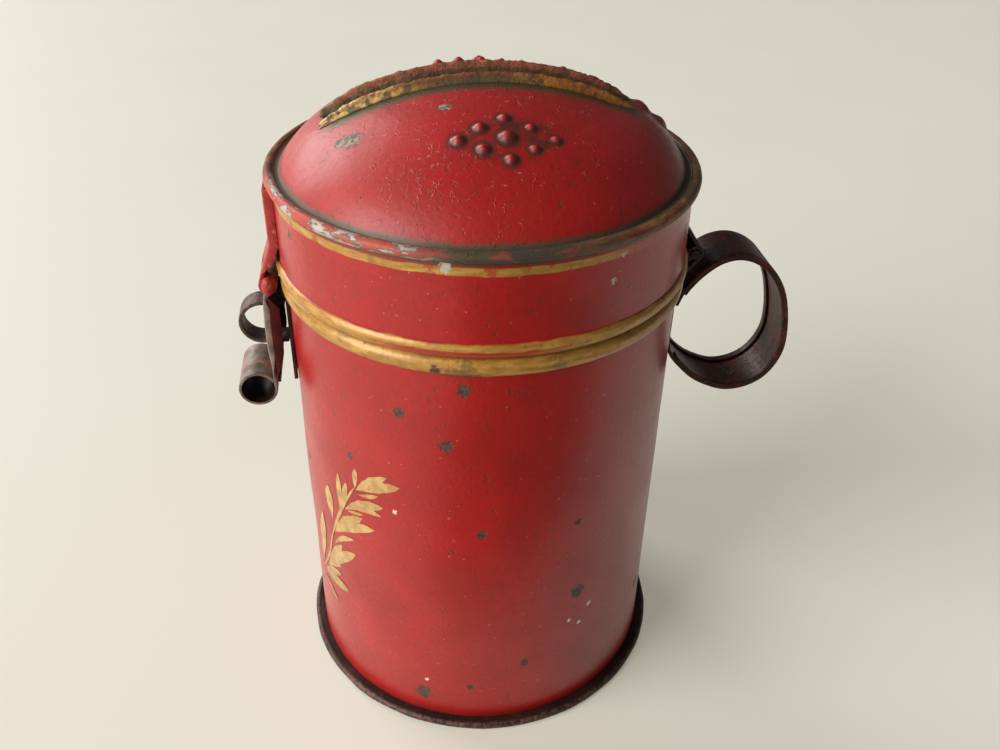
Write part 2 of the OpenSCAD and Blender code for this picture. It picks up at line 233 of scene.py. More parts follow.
spray_bm = bmesh.new()
for side in (-1, 1):
    for order, leaf in enumerate(LEAVES):
        brush_stroke(spray_bm, *leaf, side, FILM_LIFT + 0.002 * order)
bmesh.ops.remove_doubles(spray_bm, verts=spray_bm.verts, dist=1e-4)
bmesh.ops.recalc_face_normals(spray_bm, faces=spray_bm.faces)
for f in spray_bm.faces:
    if f.normal.dot(from_axis(f.calc_center_median())) < 0:
        f.normal_flip()
wall(spray_bm, FILM)
spray = finish_piece(spray_bm, "leaf_spray", "box", "gilt_paint")

# %% [markdown]
# The base is a disc whose edge is folded up and over the drum's foot. In the photograph it is the
# dark flange. The fold is drawn round, as a hammered seam is, and made uneven along its edge.

# %% Base with its folded seam
SEAM_R, SEAM_TOP, SEAM_SHEET = 42.5, 1.9, 0.42
SEAM_WORK, FOLD_R, FOLD_Z = (0.16, 7), 41, 0.3
fold = SEAM_TOP / 2
base_line = line((0, 0), (SEAM_R - fold, 0), 12)
base_line += arc((SEAM_R - fold, fold), fold, -80, 80, 12)
base_line += line((SEAM_R - fold, SEAM_TOP), (DRUM_R + 0.12, SEAM_TOP - 0.1), 4)
base_bm = turned(base_line)
face_out(base_bm, lambda p: from_axis(p) if p.z > 0.1 else Vector((0, 0, -9)))


def on_fold(p):
    return 1.0 if p.z > FOLD_Z and p.xy.length > FOLD_R else 0.0


hand_work(base_bm, *SEAM_WORK, on_fold)
wall(base_bm, SEAM_SHEET)
base = finish_piece(base_bm, "base", "box", "dark_paint", "base_plate")

# %% [markdown]
# The lid's skirt is a second, slightly wider band with its own small bead above the join. It is
# turned in the same way as the drum, so that the two beads lie close and read as one gold band.

# %% Lid skirt
LID_BEAD_H, LID_BEAD_OUT = 2.8, 0.8
SKIRT_TOP = 118.1
SKIRT_WORK, CALM_BELOW = (0.1, 14), 104
skirt_line = [(LID_R, LID_FOOT)] + bead(LID_R, LID_BEAD_OUT, LID_FOOT + 0.15, LID_BEAD_H, 12)
skirt_line += line((LID_R, LID_FOOT + LID_BEAD_H + 0.6), (LID_R, SKIRT_TOP), 14)
skirt_bm = turned(skirt_line)
face_out(skirt_bm, from_axis)
hand_work(skirt_bm, *SKIRT_WORK, lambda p: 0.5 if p.z < CALM_BELOW else 1.0)
wall(skirt_bm)
skirt = finish_piece(skirt_bm, "lid_skirt_sheet", "lid", "red_paint", "lid_skirt")

# %% [markdown]
# The dome is raised from one disc: a flat crown, a rounder shoulder, a narrow brim and an edge
# rolled over a wire. The shoulder is an arc that leaves the crown without a kink, so its radius is
# worked out from where it starts and ends. The profile is then spun like the drum's.

# %% Dome, spun from its profile
crown_foot = CROWN_Z + CROWN_R * math.cos(crown_turn)
chord = math.atan2(crown_foot - BRIM_Z, BRIM_R - CROWN_EDGE)
foot_turn = 2 * chord - crown_turn
shoulder_r = (BRIM_R - CROWN_EDGE) / (math.sin(foot_turn) - math.sin(crown_turn))
inner_r = CROWN_R - shoulder_r
shoulder = (inner_r * math.sin(crown_turn), CROWN_Z + inner_r * math.cos(crown_turn))
brim_angle = 180 - math.degrees(math.asin((BRIM_Z - RIM_Z) / RIM_ROLL))
dome_line = arc((0, CROWN_Z), CROWN_R, 90, 90 - math.degrees(crown_turn), 46)
dome_line += arc(shoulder, shoulder_r, 90 - math.degrees(crown_turn), 90 - math.degrees(foot_turn), 16)[1:]
dome_line += [(BRIM_R + 0.25, BRIM_Z)]
dome_line += arc((RIM_R, RIM_Z), RIM_ROLL, brim_angle, -150, 26)
dome_line[0] = (0, crown_top)
dome_bm = turned(dome_line)
face_out(dome_bm, lambda p: p - Vector((0, 0, 100)))
print("shoulder radius", round(shoulder_r, 1), "mm")
print("foot of the dome at", round(math.degrees(foot_turn)), "degrees")

# %% [markdown]
# Two rosettes of nine bosses are punched up from inside, a little larger towards the hasp. Two lumps of
# solder lie by the hinge, where the flank is also a little fuller. A displacement texture could raise
# all this; here the mesh is made finer only round the rosettes, and its vertices are pushed out along
# their normals, so that the bosses are real.

# %% Rosettes and lumps
ROSETTE_SHIFT, ROSETTE_OFF = 1.5, 21.9
ROSETTE_X, ROSETTE_Y, ROSETTE_MARGIN, MID_SHARE = 8.4, 4.9, 2.6, 0.74
BOSS, SMALL_BOSS, BOSS_TAPER, BOSS_SPREAD = (1.7, 1.15), (1.2, 0.85), 0.14, 1.14
LUMPS = [((30.8, 2.6), 2.6, 1.0), ((35.0, 2.4), 2.3, 1.0)]
FLANK_SWELL, FLANK_START = 0.55, 0.8 * CROWN_EDGE
DOME_WORK, ROLL_WORK = (0.14, 16), (0.05, 4)


def rosette(side):
    """Places, radius and height of the nine bosses on one side of the slot."""
    found = [((ROSETTE_SHIFT, side * ROSETTE_OFF), *BOSS)]
    for i in range(8):
        angle, share = math.radians(45 * i), 1 if i % 2 == 0 else MID_SHARE
        along, across = share * ROSETTE_X * math.cos(angle), share * ROSETTE_Y * math.sin(angle)
        size = 1 - BOSS_TAPER * math.cos(angle)
        middle = (ROSETTE_SHIFT + along, side * ROSETTE_OFF + across)
        found.append((middle, SMALL_BOSS[0] * size, SMALL_BOSS[1] * size))
    return found


bosses = rosette(-1) + rosette(1)


def near_rosette(point):
    along = (point.x - ROSETTE_SHIFT) / (ROSETTE_X + ROSETTE_MARGIN)
    across = (abs(point.y) - ROSETTE_OFF) / (ROSETTE_Y + ROSETTE_MARGIN)
    return along * along + across * across < 1 and point.z > BRIM_Z


fine = [e for e in dome_bm.edges if near_rosette((e.verts[0].co + e.verts[1].co) / 2)]
bmesh.ops.subdivide_edges(dome_bm, edges=fine, cuts=2, use_grid_fill=True)
bmesh.ops.triangulate(dome_bm, faces=[f for f in dome_bm.faces if len(f.verts) > 4])
hand_work(dome_bm, *DOME_WORK, lambda p: 0.4 if p.z < BRIM_Z + 1 else 1.0)
hand_work(dome_bm, *ROLL_WORK, lambda p: 1.0 if p.z > BRIM_Z - 0.5 and p.xy.length > 40 else 0.3)
dome_bm.normal_update()
raised = []
for v in dome_bm.verts:
    height = 0.0
    if v.co.z > BRIM_Z:
        if v.co.x > 0:
            out = ramp(v.co.xy.length, FLANK_START, BRIM_R)
            height = FLANK_SWELL * math.sin(math.pi * out) * (v.co.x / v.co.xy.length) ** 2
        for (x, y), radius, rise in bosses + LUMPS:
            distance = math.hypot(v.co.x - x, v.co.y - y) / (radius * BOSS_SPREAD)
            if distance < 1:
                height += rise * (1 - distance * distance) ** 2
    raised.append(v.normal * height)
for v, move in zip(dome_bm.verts, raised):
    v.co += move
print("bosses:", len(bosses), "lumps:", len(LUMPS))

# %% [markdown]
# The coin slot is cut along four planes with bisect_plane, and the faces between them are taken out.
# Only then does the sheet get its thickness, so that the slot has clean, straight walls.

# %% Coin slot
for place, normal in (((0, SLOT_SIDE, 0), (0, 1, 0)), ((0, -SLOT_SIDE, 0), (0, 1, 0)),
                      ((SLOT_RIGHT, 0, 0), (1, 0, 0)), ((SLOT_LEFT, 0, 0), (1, 0, 0))):
    bmesh.ops.bisect_plane(dome_bm, geom=dome_bm.verts[:] + dome_bm.edges[:] + dome_bm.faces[:],
                           plane_co=place, plane_no=normal, dist=1e-5)
inside = []
for f in dome_bm.faces:
    middle = f.calc_center_median()
    if SLOT_LEFT < middle.x < SLOT_RIGHT and abs(middle.y) < SLOT_SIDE:
        inside.append(f)
bmesh.ops.delete(dome_bm, geom=inside, context="FACES")
wall(dome_bm)
dome = finish_piece(dome_bm, "dome", "lid", "red_paint", "lid_dome", sharp=55)

# %% [markdown]
# Along the slot the sheet is turned up into two lips. Each is a small section, drawn across the
# slot, and spun about a cross axis through the crown's centre, so that it follows the crown. The
# height runs out at both ends and wanders a little, because the lips are worn by coins.

# %% Slot lips
LIP_T, LIP_OVER = 0.85, 0.6


def slot_lip(side, height, name, node):
    """One lip on the front or the back of the slot."""
    first = math.asin((SLOT_LEFT - LIP_OVER) / CROWN_R)
    last = math.asin((SLOT_RIGHT + LIP_OVER) / CROWN_R)
    outer = SLOT_SIDE + LIP_T
    section = [(SLOT_SIDE - 0.12, -0.45), (SLOT_SIDE, height - 0.4)]
    section += arc((SLOT_SIDE + LIP_T / 2, height - 0.42), LIP_T / 2, 180, 0, 6)[1:]
    section += [(outer, 0.8), (outer + 0.18, 0.35), (outer + 0.7, 0.03), (outer + 0.6, -0.3)]
    bm = bmesh.new()
    verts, edges = chain(bm, [(0, side * across, CROWN_R + up) for across, up in section])
    edges.append(bm.edges.new((verts[-1], verts[0])))
    bmesh.ops.rotate(bm, cent=(0, 0, 0), matrix=Matrix.Rotation(first, 3, "Y"), verts=verts)
    bmesh.ops.spin(bm, geom=verts + edges, cent=(0, 0, 0), axis=(0, 1, 0), dvec=(0, 0, 0),
                   angle=last - first, steps=120, use_merge=False, use_duplicate=False)
    for v in bm.verts:
        up = v.co.xz.length - CROWN_R
        if up > 0:
            angle = math.atan2(v.co.x, v.co.z)
            to_end = min(angle - first, last - angle) / last
            run_out = min(1.0, 0.2 + 1.5 * math.sqrt(max(0.0, to_end)))
            wear = 1 + 0.16 * noise.noise((angle * 40, side * 5, 0))
            wear += 0.1 * noise.noise((angle * 120, side, 3))
            wanted = CROWN_R + up * (1 + (run_out * wear - 1) * min(1.0, up / 0.6))
            v.co.x, v.co.z = wanted * math.sin(angle), wanted * math.cos(angle)
            v.co.y += 0.16 * up * noise.noise((angle * 22, side * 3, 7))
    bmesh.ops.holes_fill(bm, edges=[e for e in bm.edges if e.is_boundary], sides=0)
    bmesh.ops.translate(bm, vec=(0, 0, CROWN_Z), verts=bm.verts)
    bmesh.ops.recalc_face_normals(bm, faces=bm.faces)
    return finish_piece(bm, name, "lid", "gilt_paint", node, sharp=60)


lip_front = slot_lip(-1, 1.55, "lip_front", "slot_lip_front")
lip_back = slot_lip(1, 2.1, "lip_back", "slot_lip_back")

# %% [markdown]
# Hinge, hasp, staple and ring are strips of strapping bent by hand. A bent strip starts as a
# chain of edges along its path, seen from the side. The chain is extruded across the width, faces
# are taken away where a tongue or a slot is, and solidify gives the strap its thickness.

# %% Helper for bent strips
def curl(start, pin, radius, turn, sweep, steps):
    """Path from a point along the tangent to a circle round a pin, and then round it by sweep degrees."""
    to_start = math.degrees(math.atan2(start[1] - pin[1], start[0] - pin[0]))
    reach = math.degrees(math.acos(radius / math.dist(start, pin)))
    first = to_start - turn * reach
    points = arc(pin, radius, first, first - turn * sweep, steps)
    return line(start, points[0], 8)[1:-1] + points


def bent_strip(path, columns, thickness, keep=None, shape=None, mirror=False, edge=0.14):
    """Strip along a path of distance and height, with its columns at the given widths."""
    bm = bmesh.new()
    verts, edges = chain(bm, [(x, columns[0], z) for x, z in path])
    for left, right in zip(columns, columns[1:]):
        made = bmesh.ops.extrude_edge_only(bm, edges=edges)["geom"]
        verts = [g for g in made if isinstance(g, bmesh.types.BMVert)]
        edges = [g for g in made if isinstance(g, bmesh.types.BMEdge) and all(v in verts for v in g.verts)]
        bmesh.ops.translate(bm, vec=(0, right - left, 0), verts=verts)
    if keep:
        gone = [f for f in bm.faces if not keep(f.calc_center_median())]
        bmesh.ops.delete(bm, geom=gone, context="FACES")
    bmesh.ops.recalc_face_normals(bm, faces=bm.faces)
    if shape:
        for v in bm.verts:
            v.co = shape(v.co.copy())
    bm.normal_update()
    centred = [v.co + v.normal * thickness / 2 for v in bm.verts]
    for v, co in zip(bm.verts, centred):
        v.co = co
    wall(bm, thickness)
    bm.normal_update()
    corner = [e for e in bm.edges if e.is_manifold and e.calc_face_angle() > math.radians(55)]
    bmesh.ops.bevel(bm, geom=corner, offset=edge, offset_type="OFFSET", affect="EDGES",
                    segments=2, profile=0.5, material=-1, clamp_overlap=True)
    if mirror:
        bmesh.ops.scale(bm, vec=(-1, 1, 1), verts=bm.verts)
        bmesh.ops.reverse_faces(bm, faces=bm.faces)
    return bm


def columns_at(*places):
    """Widths on both sides of the middle, in order."""
    return sorted({side * place for place in places for side in (-1, 1)})


def hug(radius, strength):
    """Bends a flat strip back to the round that it lies on; strength depends on the place."""
    def bend(p):
        p.x -= strength(p) * (radius - math.sqrt(radius * radius - p.y * p.y))
        return p
    return bend


def away_from(p, pin):
    return math.hypot(p.x - pin[0], p.z - pin[1])


print("columns of a strip with a middle line:", columns_at(6.0, 3.0, 0.0))

# %% [markdown]
# The hinge strap lies on the skirt, leaves it above the beads and curls round the pin with a
# middle tongue. The leaf on the drum has the two outer knuckles. The pin itself stays as it is.

# %% Hinge strap and leaf
HALF_W, TONGUE, GAP_HALF, SWEEP = 6.0, 2.4, 2.55, 2.3
STRAP_TOP, STRAP_BEND, STRAP_HUG = 115.5, 105.9, (101, 106)
lid_face = LID_R + SOLDER + STRAP / 2
strip_columns = columns_at(HALF_W, 5.2, 4.0, GAP_HALF, TONGUE, 1.2, 0.0)
hinge_path = line((lid_face, STRAP_TOP), (lid_face, STRAP_BEND), 8)
hinge_path += curl((lid_face, STRAP_BEND), HINGE, KNUCKLE, 1, 286, 26)


def on_skirt(p):
    return ramp(p.z, *STRAP_HUG)


hinge_bm = bent_strip(hinge_path, strip_columns, STRAP, shape=hug(lid_face, on_skirt),
                      keep=lambda p: abs(p.y) < TONGUE or away_from(p, HINGE) > SWEEP)
hinge_strap = finish_piece(hinge_bm, "hinge_strap_sheet", "lid", "dark_paint", "hinge_strap")

drum_face = DRUM_R + SOLDER + STRAP / 2
LEAF_FOOT, LEAF_BEND, LEAF_HUG = 91.6, 94.0, (97, 94)
leaf_path = line((drum_face, LEAF_FOOT), (drum_face, LEAF_BEND), 4)
leaf_path += curl((drum_face, LEAF_BEND), HINGE, KNUCKLE, -1, 285, 24)
leaf_bm = bent_strip(leaf_path, strip_columns, STRAP,
                     shape=hug(drum_face, lambda p: ramp(p.z, *LEAF_HUG)),
                     keep=lambda p: abs(p.y) > GAP_HALF or away_from(p, HINGE) > SWEEP)
hinge_leaf = finish_piece(leaf_bm, "hinge_leaf_sheet", "box", "dark_paint", "hinge_leaf")

# %% [markdown]
# On the other side a strap of the same kind carries the hasp, but it stays flat and its edges are turned
# back on the round skirt. Its two knuckles hold a wire with hammered ends, and a window between them
# lets the tongue of the hasp turn.

# %% Hasp strap
WINDOW, STAND_OFF, TURN_BACK = 3.6, 0.7, 1.6
WIRE_END, HAMMERED = 1.6, (0.8, 0.75, 1.3)
EDGE_Y, BEND_Y, BENT_Y, BEND_IN = 5.9, 5.7, 5.98, 0.12
HASP_STRAP_TOP, TURN_RISE = 117.4, (100.2, 102.2)
hasp_columns = columns_at(HALF_W, 5.8, 5.4, 4.0, GAP_HALF, TONGUE, 1.2, 0.0)
hasp_strap_path = line((lid_face + STAND_OFF, HASP_STRAP_TOP), (lid_face + STAND_OFF, STRAP_BEND), 9)
hasp_strap_path += curl((lid_face + STAND_OFF, STRAP_BEND), HASP, KNUCKLE, 1, 286, 26)


def back_to_skirt(p):
    share = ramp(p.z, *TURN_RISE)
    if abs(p.y) > EDGE_Y:
        p.x -= TURN_BACK * share
    elif abs(p.y) > BEND_Y and share > 0.5:
        p.x, p.y = p.x - BEND_IN, math.copysign(BENT_Y, p.y)
    return p


hasp_strap_bm = bent_strip(hasp_strap_path, hasp_columns, STRAP, mirror=True, shape=back_to_skirt,
                           keep=lambda p: abs(p.y) > GAP_HALF or away_from(p, HASP) > WINDOW)
for side in (-1, 1):
    wire_end = Matrix.Translation((-HASP[0], side * (HALF_W + 0.1), HASP[1]))
    bmesh.ops.create_uvsphere(hasp_strap_bm, u_segments=24, v_segments=12, radius=WIRE_END,
                              matrix=wire_end @ Matrix.Diagonal((*HAMMERED, 1)))
hasp_strap = finish_piece(hasp_strap_bm, "hasp_strap_sheet", "lid", "red_paint", "hasp_strap")

# %% [markdown]
# The hasp is two sheets back to back. The outer one curls round the wire above and is rolled into
# a grip below; both have a slot for the staple, and their long edges are turned towards the drum,
# which is what shows from the front as two bands.

# %% Hasp flap and its backing
FLAP_X, FLAP_TOP, BACK_X, HASP_SHEET = 44.5, 93.7, 43.65, 0.7
GRIP, GRIP_R = (48.2, 72.6), 3.7
SLOT_LOW, SLOT_HIGH, SLOT_Y = 81.18, 91.95, 2.85
EDGE_HIGH, EDGE_LOW, BOW_SPAN = (94.6, 92.1), (75.5, 81.5), (75, 95)
FLAP_EDGE, BACK_EDGE = (1.05, 0.4), (2.0, 0.3)
flap_columns = columns_at(HALF_W, 5.8, 5.4, 4.2, SLOT_Y, TONGUE, 1.2, 0.0)


def on_sheet(p):
    """Share of the turned edge at this height: full in the middle, none near the grip and the pin."""
    return min(ramp(p.z, *EDGE_HIGH), ramp(p.z, *EDGE_LOW))


def turned_edge(depth, swell):
    """Turns the two outer columns towards the drum and bows the face a little outwards."""
    def bend(p):
        share = on_sheet(p)
        p.x += swell * share * math.sin(math.pi * ramp(p.z, *BOW_SPAN))
        if abs(p.y) > EDGE_Y:
            p.x -= depth * share
        elif abs(p.y) > BEND_Y:
            p.x -= BEND_IN * share
            p.y = math.copysign(BENT_Y, p.y) if share > 0.5 else p.y
        return p
    return bend


def slotted(p):
    return abs(p.y) > SLOT_Y or not SLOT_LOW < p.z < SLOT_HIGH


def flap_keep(p):
    if p.x > FLAP_X + 1.2:
        return True
    return slotted(p) and (abs(p.y) < TONGUE or p.z < FLAP_TOP)


def past_slot(x, above_grip):
    """Straight line of a sheet down past the slot; it ends above the middle of the grip."""
    path = [(x, FLAP_TOP)] + line((x, SLOT_HIGH), (x, SLOT_LOW), 10)
    return path + line((x, SLOT_LOW - 1.4), (x, GRIP[1] + above_grip), 5)


flap_path = arc(HASP, KNUCKLE, 235, 0, 20) + [(FLAP_X + 0.2, HASP[1] - 1.6), (FLAP_X, FLAP_TOP + 0.7)]
flap_path += past_slot(FLAP_X, 0.6) + arc(GRIP, GRIP_R, 180, 515, 40)
flap_bm = bent_strip(flap_path, flap_columns, HASP_SHEET, keep=flap_keep, shape=turned_edge(*FLAP_EDGE),
                     mirror=True)
hasp_flap = finish_piece(flap_bm, "hasp_flap_sheet", "hasp", "bare_tin", "hasp_flap")

back_path = [(BACK_X, FLAP_TOP + 0.9)] + past_slot(BACK_X, 1.6)
back_bm = bent_strip(back_path, flap_columns, HASP_SHEET, keep=slotted, shape=turned_edge(*BACK_EDGE),
                     mirror=True)
hasp_back = finish_piece(back_bm, "hasp_backing_sheet", "hasp", "dark_paint", "hasp_backing")

# %% [markdown]
# The staple is a strip bent to a loop. Its legs stand on a curved plate that is soldered to the drum.
# A curve with a flat profile could make the loop; the strip helper keeps all the strapping alike.

# %% Staple and plate
STAPLE_R, STAPLE_HALF = 4.5, 2.5
staple_foot = drum_face + 0.5
staple_path = line((staple_foot, STAPLE[1] + STAPLE_R), (STAPLE[0], STAPLE[1] + STAPLE_R), 4)
staple_path += arc(STAPLE, STAPLE_R, 90, -90, 28)[1:]
staple_path += line((STAPLE[0], STAPLE[1] - STAPLE_R), (staple_foot, STAPLE[1] - STAPLE_R), 4)[1:]
staple_bm = bent_strip(staple_path, columns_at(STAPLE_HALF, 1.2, 0.0), STRAP, mirror=True, edge=0.2)
staple = finish_piece(staple_bm, "staple", "box", "dark_paint", "staple_loop")

PLATE_LOW, PLATE_HIGH = 74.0, 94.5
plate_path = line((drum_face, PLATE_LOW), (drum_face, PLATE_HIGH), 20)
plate_bm = bent_strip(plate_path, columns_at(5.0, 4.0, 3.0, 1.5, 0.0), STRAP, mirror=True,
                      shape=hug(drum_face, lambda p: 1.0))
plate = finish_piece(plate_bm, "staple_plate_sheet", "box", "dark_paint", "staple_plate")

# %% [markdown]
# The finger ring is a flat band. Its lower end lies on the drum; its upper end comes down over it and
# is soldered there, which leaves a small step inside the ring. Both edges of the band are hemmed. The
# ring is bent by eye, not round a rod, so a soft curve goes through points along its bend. Each is a
# distance from the box's axis and a height.

# %% Finger ring and its hems
RING_T, HEM_T, HEM_W = 0.85, 0.5, 1.8
RING_HUG, HEM_SPAN = (44, 41), slice(3, -14)
RING_LINE = [
    (41.3, 87.6), (42.6, 91.2), (45.0, 94.4), (48.3, 97.2), (51.2, 98.4), (54.2, 98.6),
    (57.4, 97.6), (60.4, 95.5), (62.9, 92.4), (64.8, 88.6), (66.0, 84.2), (66.7, 79.6),
    (66.7, 74.9), (65.3, 70.8), (62.8, 67.6), (59.1, 65.7), (54.9, 65.3), (51.0, 66.5),
    (46.8, 68.9), (43.1, 72.7), (41.0, 76.3), (40.5, 79.5), (40.5, 84.0), (40.5, 91.0)]


def smooth_through(points, steps):
    """A soft curve through the points of a bend, as a strip takes it when it is bent by hand."""
    path = []
    for i in range(len(points) - 1):
        a, b, c, d = (Vector(points[max(0, min(len(points) - 1, k))]) for k in (i - 1, i, i + 1, i + 2))
        for step in range(steps):
            t = step / steps
            bow = (2 * a - 5 * b + 4 * c - d) * t * t + (3 * b - a - 3 * c + d) * t ** 3
            path.append(0.5 * (2 * b + (c - a) * t + bow))
    return path + [Vector(points[-1])]


def ring_path(inset):
    """The band's line from its upper end round to its lower end, moved inwards by inset."""
    path = smooth_through(RING_LINE, 4)
    moved = []
    for i, point in enumerate(path):
        along = (path[min(i + 1, len(path) - 1)] - path[max(i - 1, 0)]).normalized()
        moved.append(point + Vector((along.y, -along.x)) * inset)
    return moved


def against_drum(p):
    return ramp(p.x, *RING_HUG)


ring_bm = bent_strip(ring_path(0), columns_at(HALF_W, 4.2, 2.1, 0.0), RING_T,
                     shape=hug(DRUM_R, against_drum))
ring = finish_piece(ring_bm, "finger_ring", "box", "dark_paint", "ring_handle")

hem_path = ring_path((RING_T + HEM_T) / 2)[HEM_SPAN]
hems_bm = bmesh.new()
for side in (-1, 1):
    hem = bent_strip(hem_path, [side * HALF_W, side * (HALF_W - HEM_W)], HEM_T,
                     shape=hug(DRUM_R, against_drum), edge=0.2)
    hem_mesh = bpy.data.meshes.new("hem")
    hem.to_mesh(hem_mesh)
    hem.free()
    hems_bm.from_mesh(hem_mesh)
    bpy.data.meshes.remove(hem_mesh)
hems = finish_piece(hems_bm, "ring_hems", "box", "dark_paint")

# %% [markdown]
# Now the finishes. The whole box was painted red over tinplate, gilded by hand and then used for a
# long time. Each finish is a tree of nodes that reads Object coordinates, turned into millimetres, so
# that a band or a chip can be put at the height and place where it is on the real box. Nodes could be
# added one by one; a small class with a method for each step keeps a finish as short as a recipe.

# %% Helper for wiring nodes
class Wiring:
    """A node tree in the making; most methods add a node and give the socket that comes out."""

    def __init__(self, tree, place):
        self.tree, self.place = tree, place

    def feed(self, node, inputs):
        """Sets inputs; each is a value or the socket that feeds it."""
        for name, value in inputs.items():
            if isinstance(value, bpy.types.NodeSocket):
                self.tree.links.new(value, node.inputs[name])
            else:
                node.inputs[name].default_value = value

    def put(self, kind, inputs, **settings):
        node = self.tree.nodes.new(kind)
        for name, value in settings.items():
            setattr(node, name, value)
        self.feed(node, inputs)
        return node

    def maths(self, operation, first, second=0.0):
        return self.put("ShaderNodeMath", {0: first, 1: second}, operation=operation).outputs[0]

    def plus(self, first, second):
        return self.maths("ADD", first, second)

    def minus(self, first, second):
        return self.maths("SUBTRACT", first, second)

    def times(self, first, second):
        return self.maths("MULTIPLY", first, second)

    def divide(self, first, second):
        return self.maths("DIVIDE", first, second)

    def size_of(self, value):
        return self.maths("ABSOLUTE", value)

    def hypot(self, first, second):
        return self.maths("SQRT", self.plus(self.times(first, first), self.times(second, second)))

    def all_of(self, mask, *others):
        for other in others:
            mask = self.times(mask, other)
        return mask

    def any_of(self, mask, *others):
        for other in others:
            mask = self.maths("MAXIMUM", mask, other)
        return mask

    def soft_step(self, value, low, high):
        """0 below low, 1 above high, smooth between; low above high turns it round."""
        return self.put("ShaderNodeMapRange", {"Value": value, "From Min": low, "From Max": high},
                        interpolation_type="SMOOTHSTEP").outputs["Result"]

    def window(self, value, start, full, waning, end):
        """Rises from start to full and falls from waning to end."""
        return self.times(self.soft_step(value, start, full), self.soft_step(value, end, waning))

    def between(self, mask, low, high):
        """A value that goes from low to high with the mask."""
        return self.put("ShaderNodeMix", {0: mask, 2: low, 3: high}, data_type="FLOAT").outputs[0]

    def lay_over(self, mask, under, over):
        """One colour over another where the mask is 1."""
        return self.put("ShaderNodeMix", {0: mask, 6: under, 7: over}, data_type="RGBA").outputs[2]

    def stretch(self, by):
        """The place with each of its directions multiplied."""
        node = self.put("ShaderNodeVectorMath", {0: self.place, 1: by}, operation="MULTIPLY")
        return node.outputs["Vector"]

    def distance(self, first, second):
        node = self.put("ShaderNodeVectorMath", {0: first, 1: second}, operation="DISTANCE")
        return node.outputs["Value"]

    def split(self, vector=None):
        source = self.place if vector is None else vector
        return self.put("ShaderNodeSeparateXYZ", {0: source}).outputs[:3]

    def join(self, x, y, z=0.0):
        return self.put("ShaderNodeCombineXYZ", {0: x, 1: y, 2: z}).outputs[0]

    def grain(self, size, detail=3.0, place=None):
        """Noise from 0 to 1 with features of about this size in millimetres."""
        source = self.place if place is None else place
        inputs = {"Vector": source, "Scale": 1 / size, "Detail": detail}
        return self.put("ShaderNodeTexNoise", inputs).outputs["Fac"]

    def patches(self, size, low, high, detail=3.0, place=None):
        """Soft patches where the noise of this size goes from low to high."""
        return self.soft_step(self.grain(size, detail, place), low, high)

    def use(self, effect, **inputs):
        """Places an effect and gives its outputs."""
        inputs = {"Place": self.place, **inputs}
        return self.put("ShaderNodeGroup", inputs, node_tree=effect.tree).outputs


print("steps of a recipe:", [step for step in vars(Wiring) if not step.startswith("_")])

# %% [markdown]
# A finish is a wiring that ends in a shader. Paint is laid on coat by coat, as on the real box, so it
# keeps the colour so far, and each call of paint lays one more tone over it. What is the same all over
# a surface, such as its varnish, is set on the shader itself.

# %% Helper for a finish
VARNISH_ROUGHNESS = 0.26


class Finish(Wiring):
    """A material with its shader, the place on the piece in millimetres, and the colour so far."""

    def __init__(self, name, coat=0.0, gloss=0.5, colour=None):
        self.material = bpy.data.materials.new(name)
        self.material.use_nodes = True
        tree = self.material.node_tree
        super().__init__(tree, tree.nodes.new("ShaderNodeTexCoord").outputs["Object"])
        self.place = self.stretch((1 / MM, 1 / MM, 1 / MM))
        self.shader = tree.nodes["Principled BSDF"]
        self.feed(self.shader, {"Coat Weight": coat, "Coat Roughness": VARNISH_ROUGHNESS,
                                "Specular IOR Level": gloss})
        self.colour = colour

    def paint(self, tone, mask, share=1.0):
        """Lays a share of a tone over the colour so far, where the mask is 1."""
        strength = mask if share == 1.0 else self.times(mask, share)
        self.colour = self.lay_over(strength, self.colour, tone)

    def end(self, roughness, relief, depth, metallic=0.0):
        """Wires the shader, with a bump whose full height is depth in millimetres."""
        bump = self.put("ShaderNodeBump", {"Height": relief, "Distance": depth * MM, "Strength": 1.0})
        self.feed(self.shader, {"Base Color": self.colour, "Roughness": roughness, "Metallic": metallic,
                                "Normal": bump.outputs["Normal"]})
        print(self.material.name, "has", len(self.tree.nodes), "nodes")
        return self.material


def rgb(red, green, blue):
    return (red, green, blue, 1.0)


print("varnish has roughness", VARNISH_ROUGHNESS)

# %% [markdown]
# Some effects come back in several finishes. Each is a node group, so that one change here ages the
# whole box. The first is old paint: clouds of a fuller red, fine cracks along the edges of bent Voronoi
# cells, pale and dark specks in some of the cells of a finer grid, and shallow pits.

# %% Old paint
SOCKETS = {"Place": "NodeSocketVector", "Centre": "NodeSocketVector", "Colour": "NodeSocketColor"}


def new_effect(name, inputs, outputs):
    """Empty node group with named sockets; gives its wiring, its inputs and its end node."""
    tree = bpy.data.node_groups.new(name, "ShaderNodeTree")
    for in_out, sockets in (("INPUT", inputs), ("OUTPUT", outputs)):
        for socket in sockets:
            kind = SOCKETS.get(socket, "NodeSocketFloat")
            tree.interface.new_socket(socket, in_out=in_out, socket_type=kind)
    given = tree.nodes.new("NodeGroupInput").outputs
    return Wiring(tree, given["Place"]), given, tree.nodes.new("NodeGroupOutput")


def specks(w, stretched, size, share):
    """Small round spots in a share of the cells of a grid."""
    cell = w.put("ShaderNodeTexVoronoi", {"Vector": w.stretch(stretched), "Scale": 1 / size}).outputs
    chosen = w.soft_step(w.split(cell["Color"])[0], 1 - share, 1.001 - share)
    return w.all_of(w.soft_step(cell["Distance"], 0.16, 0.08), chosen)


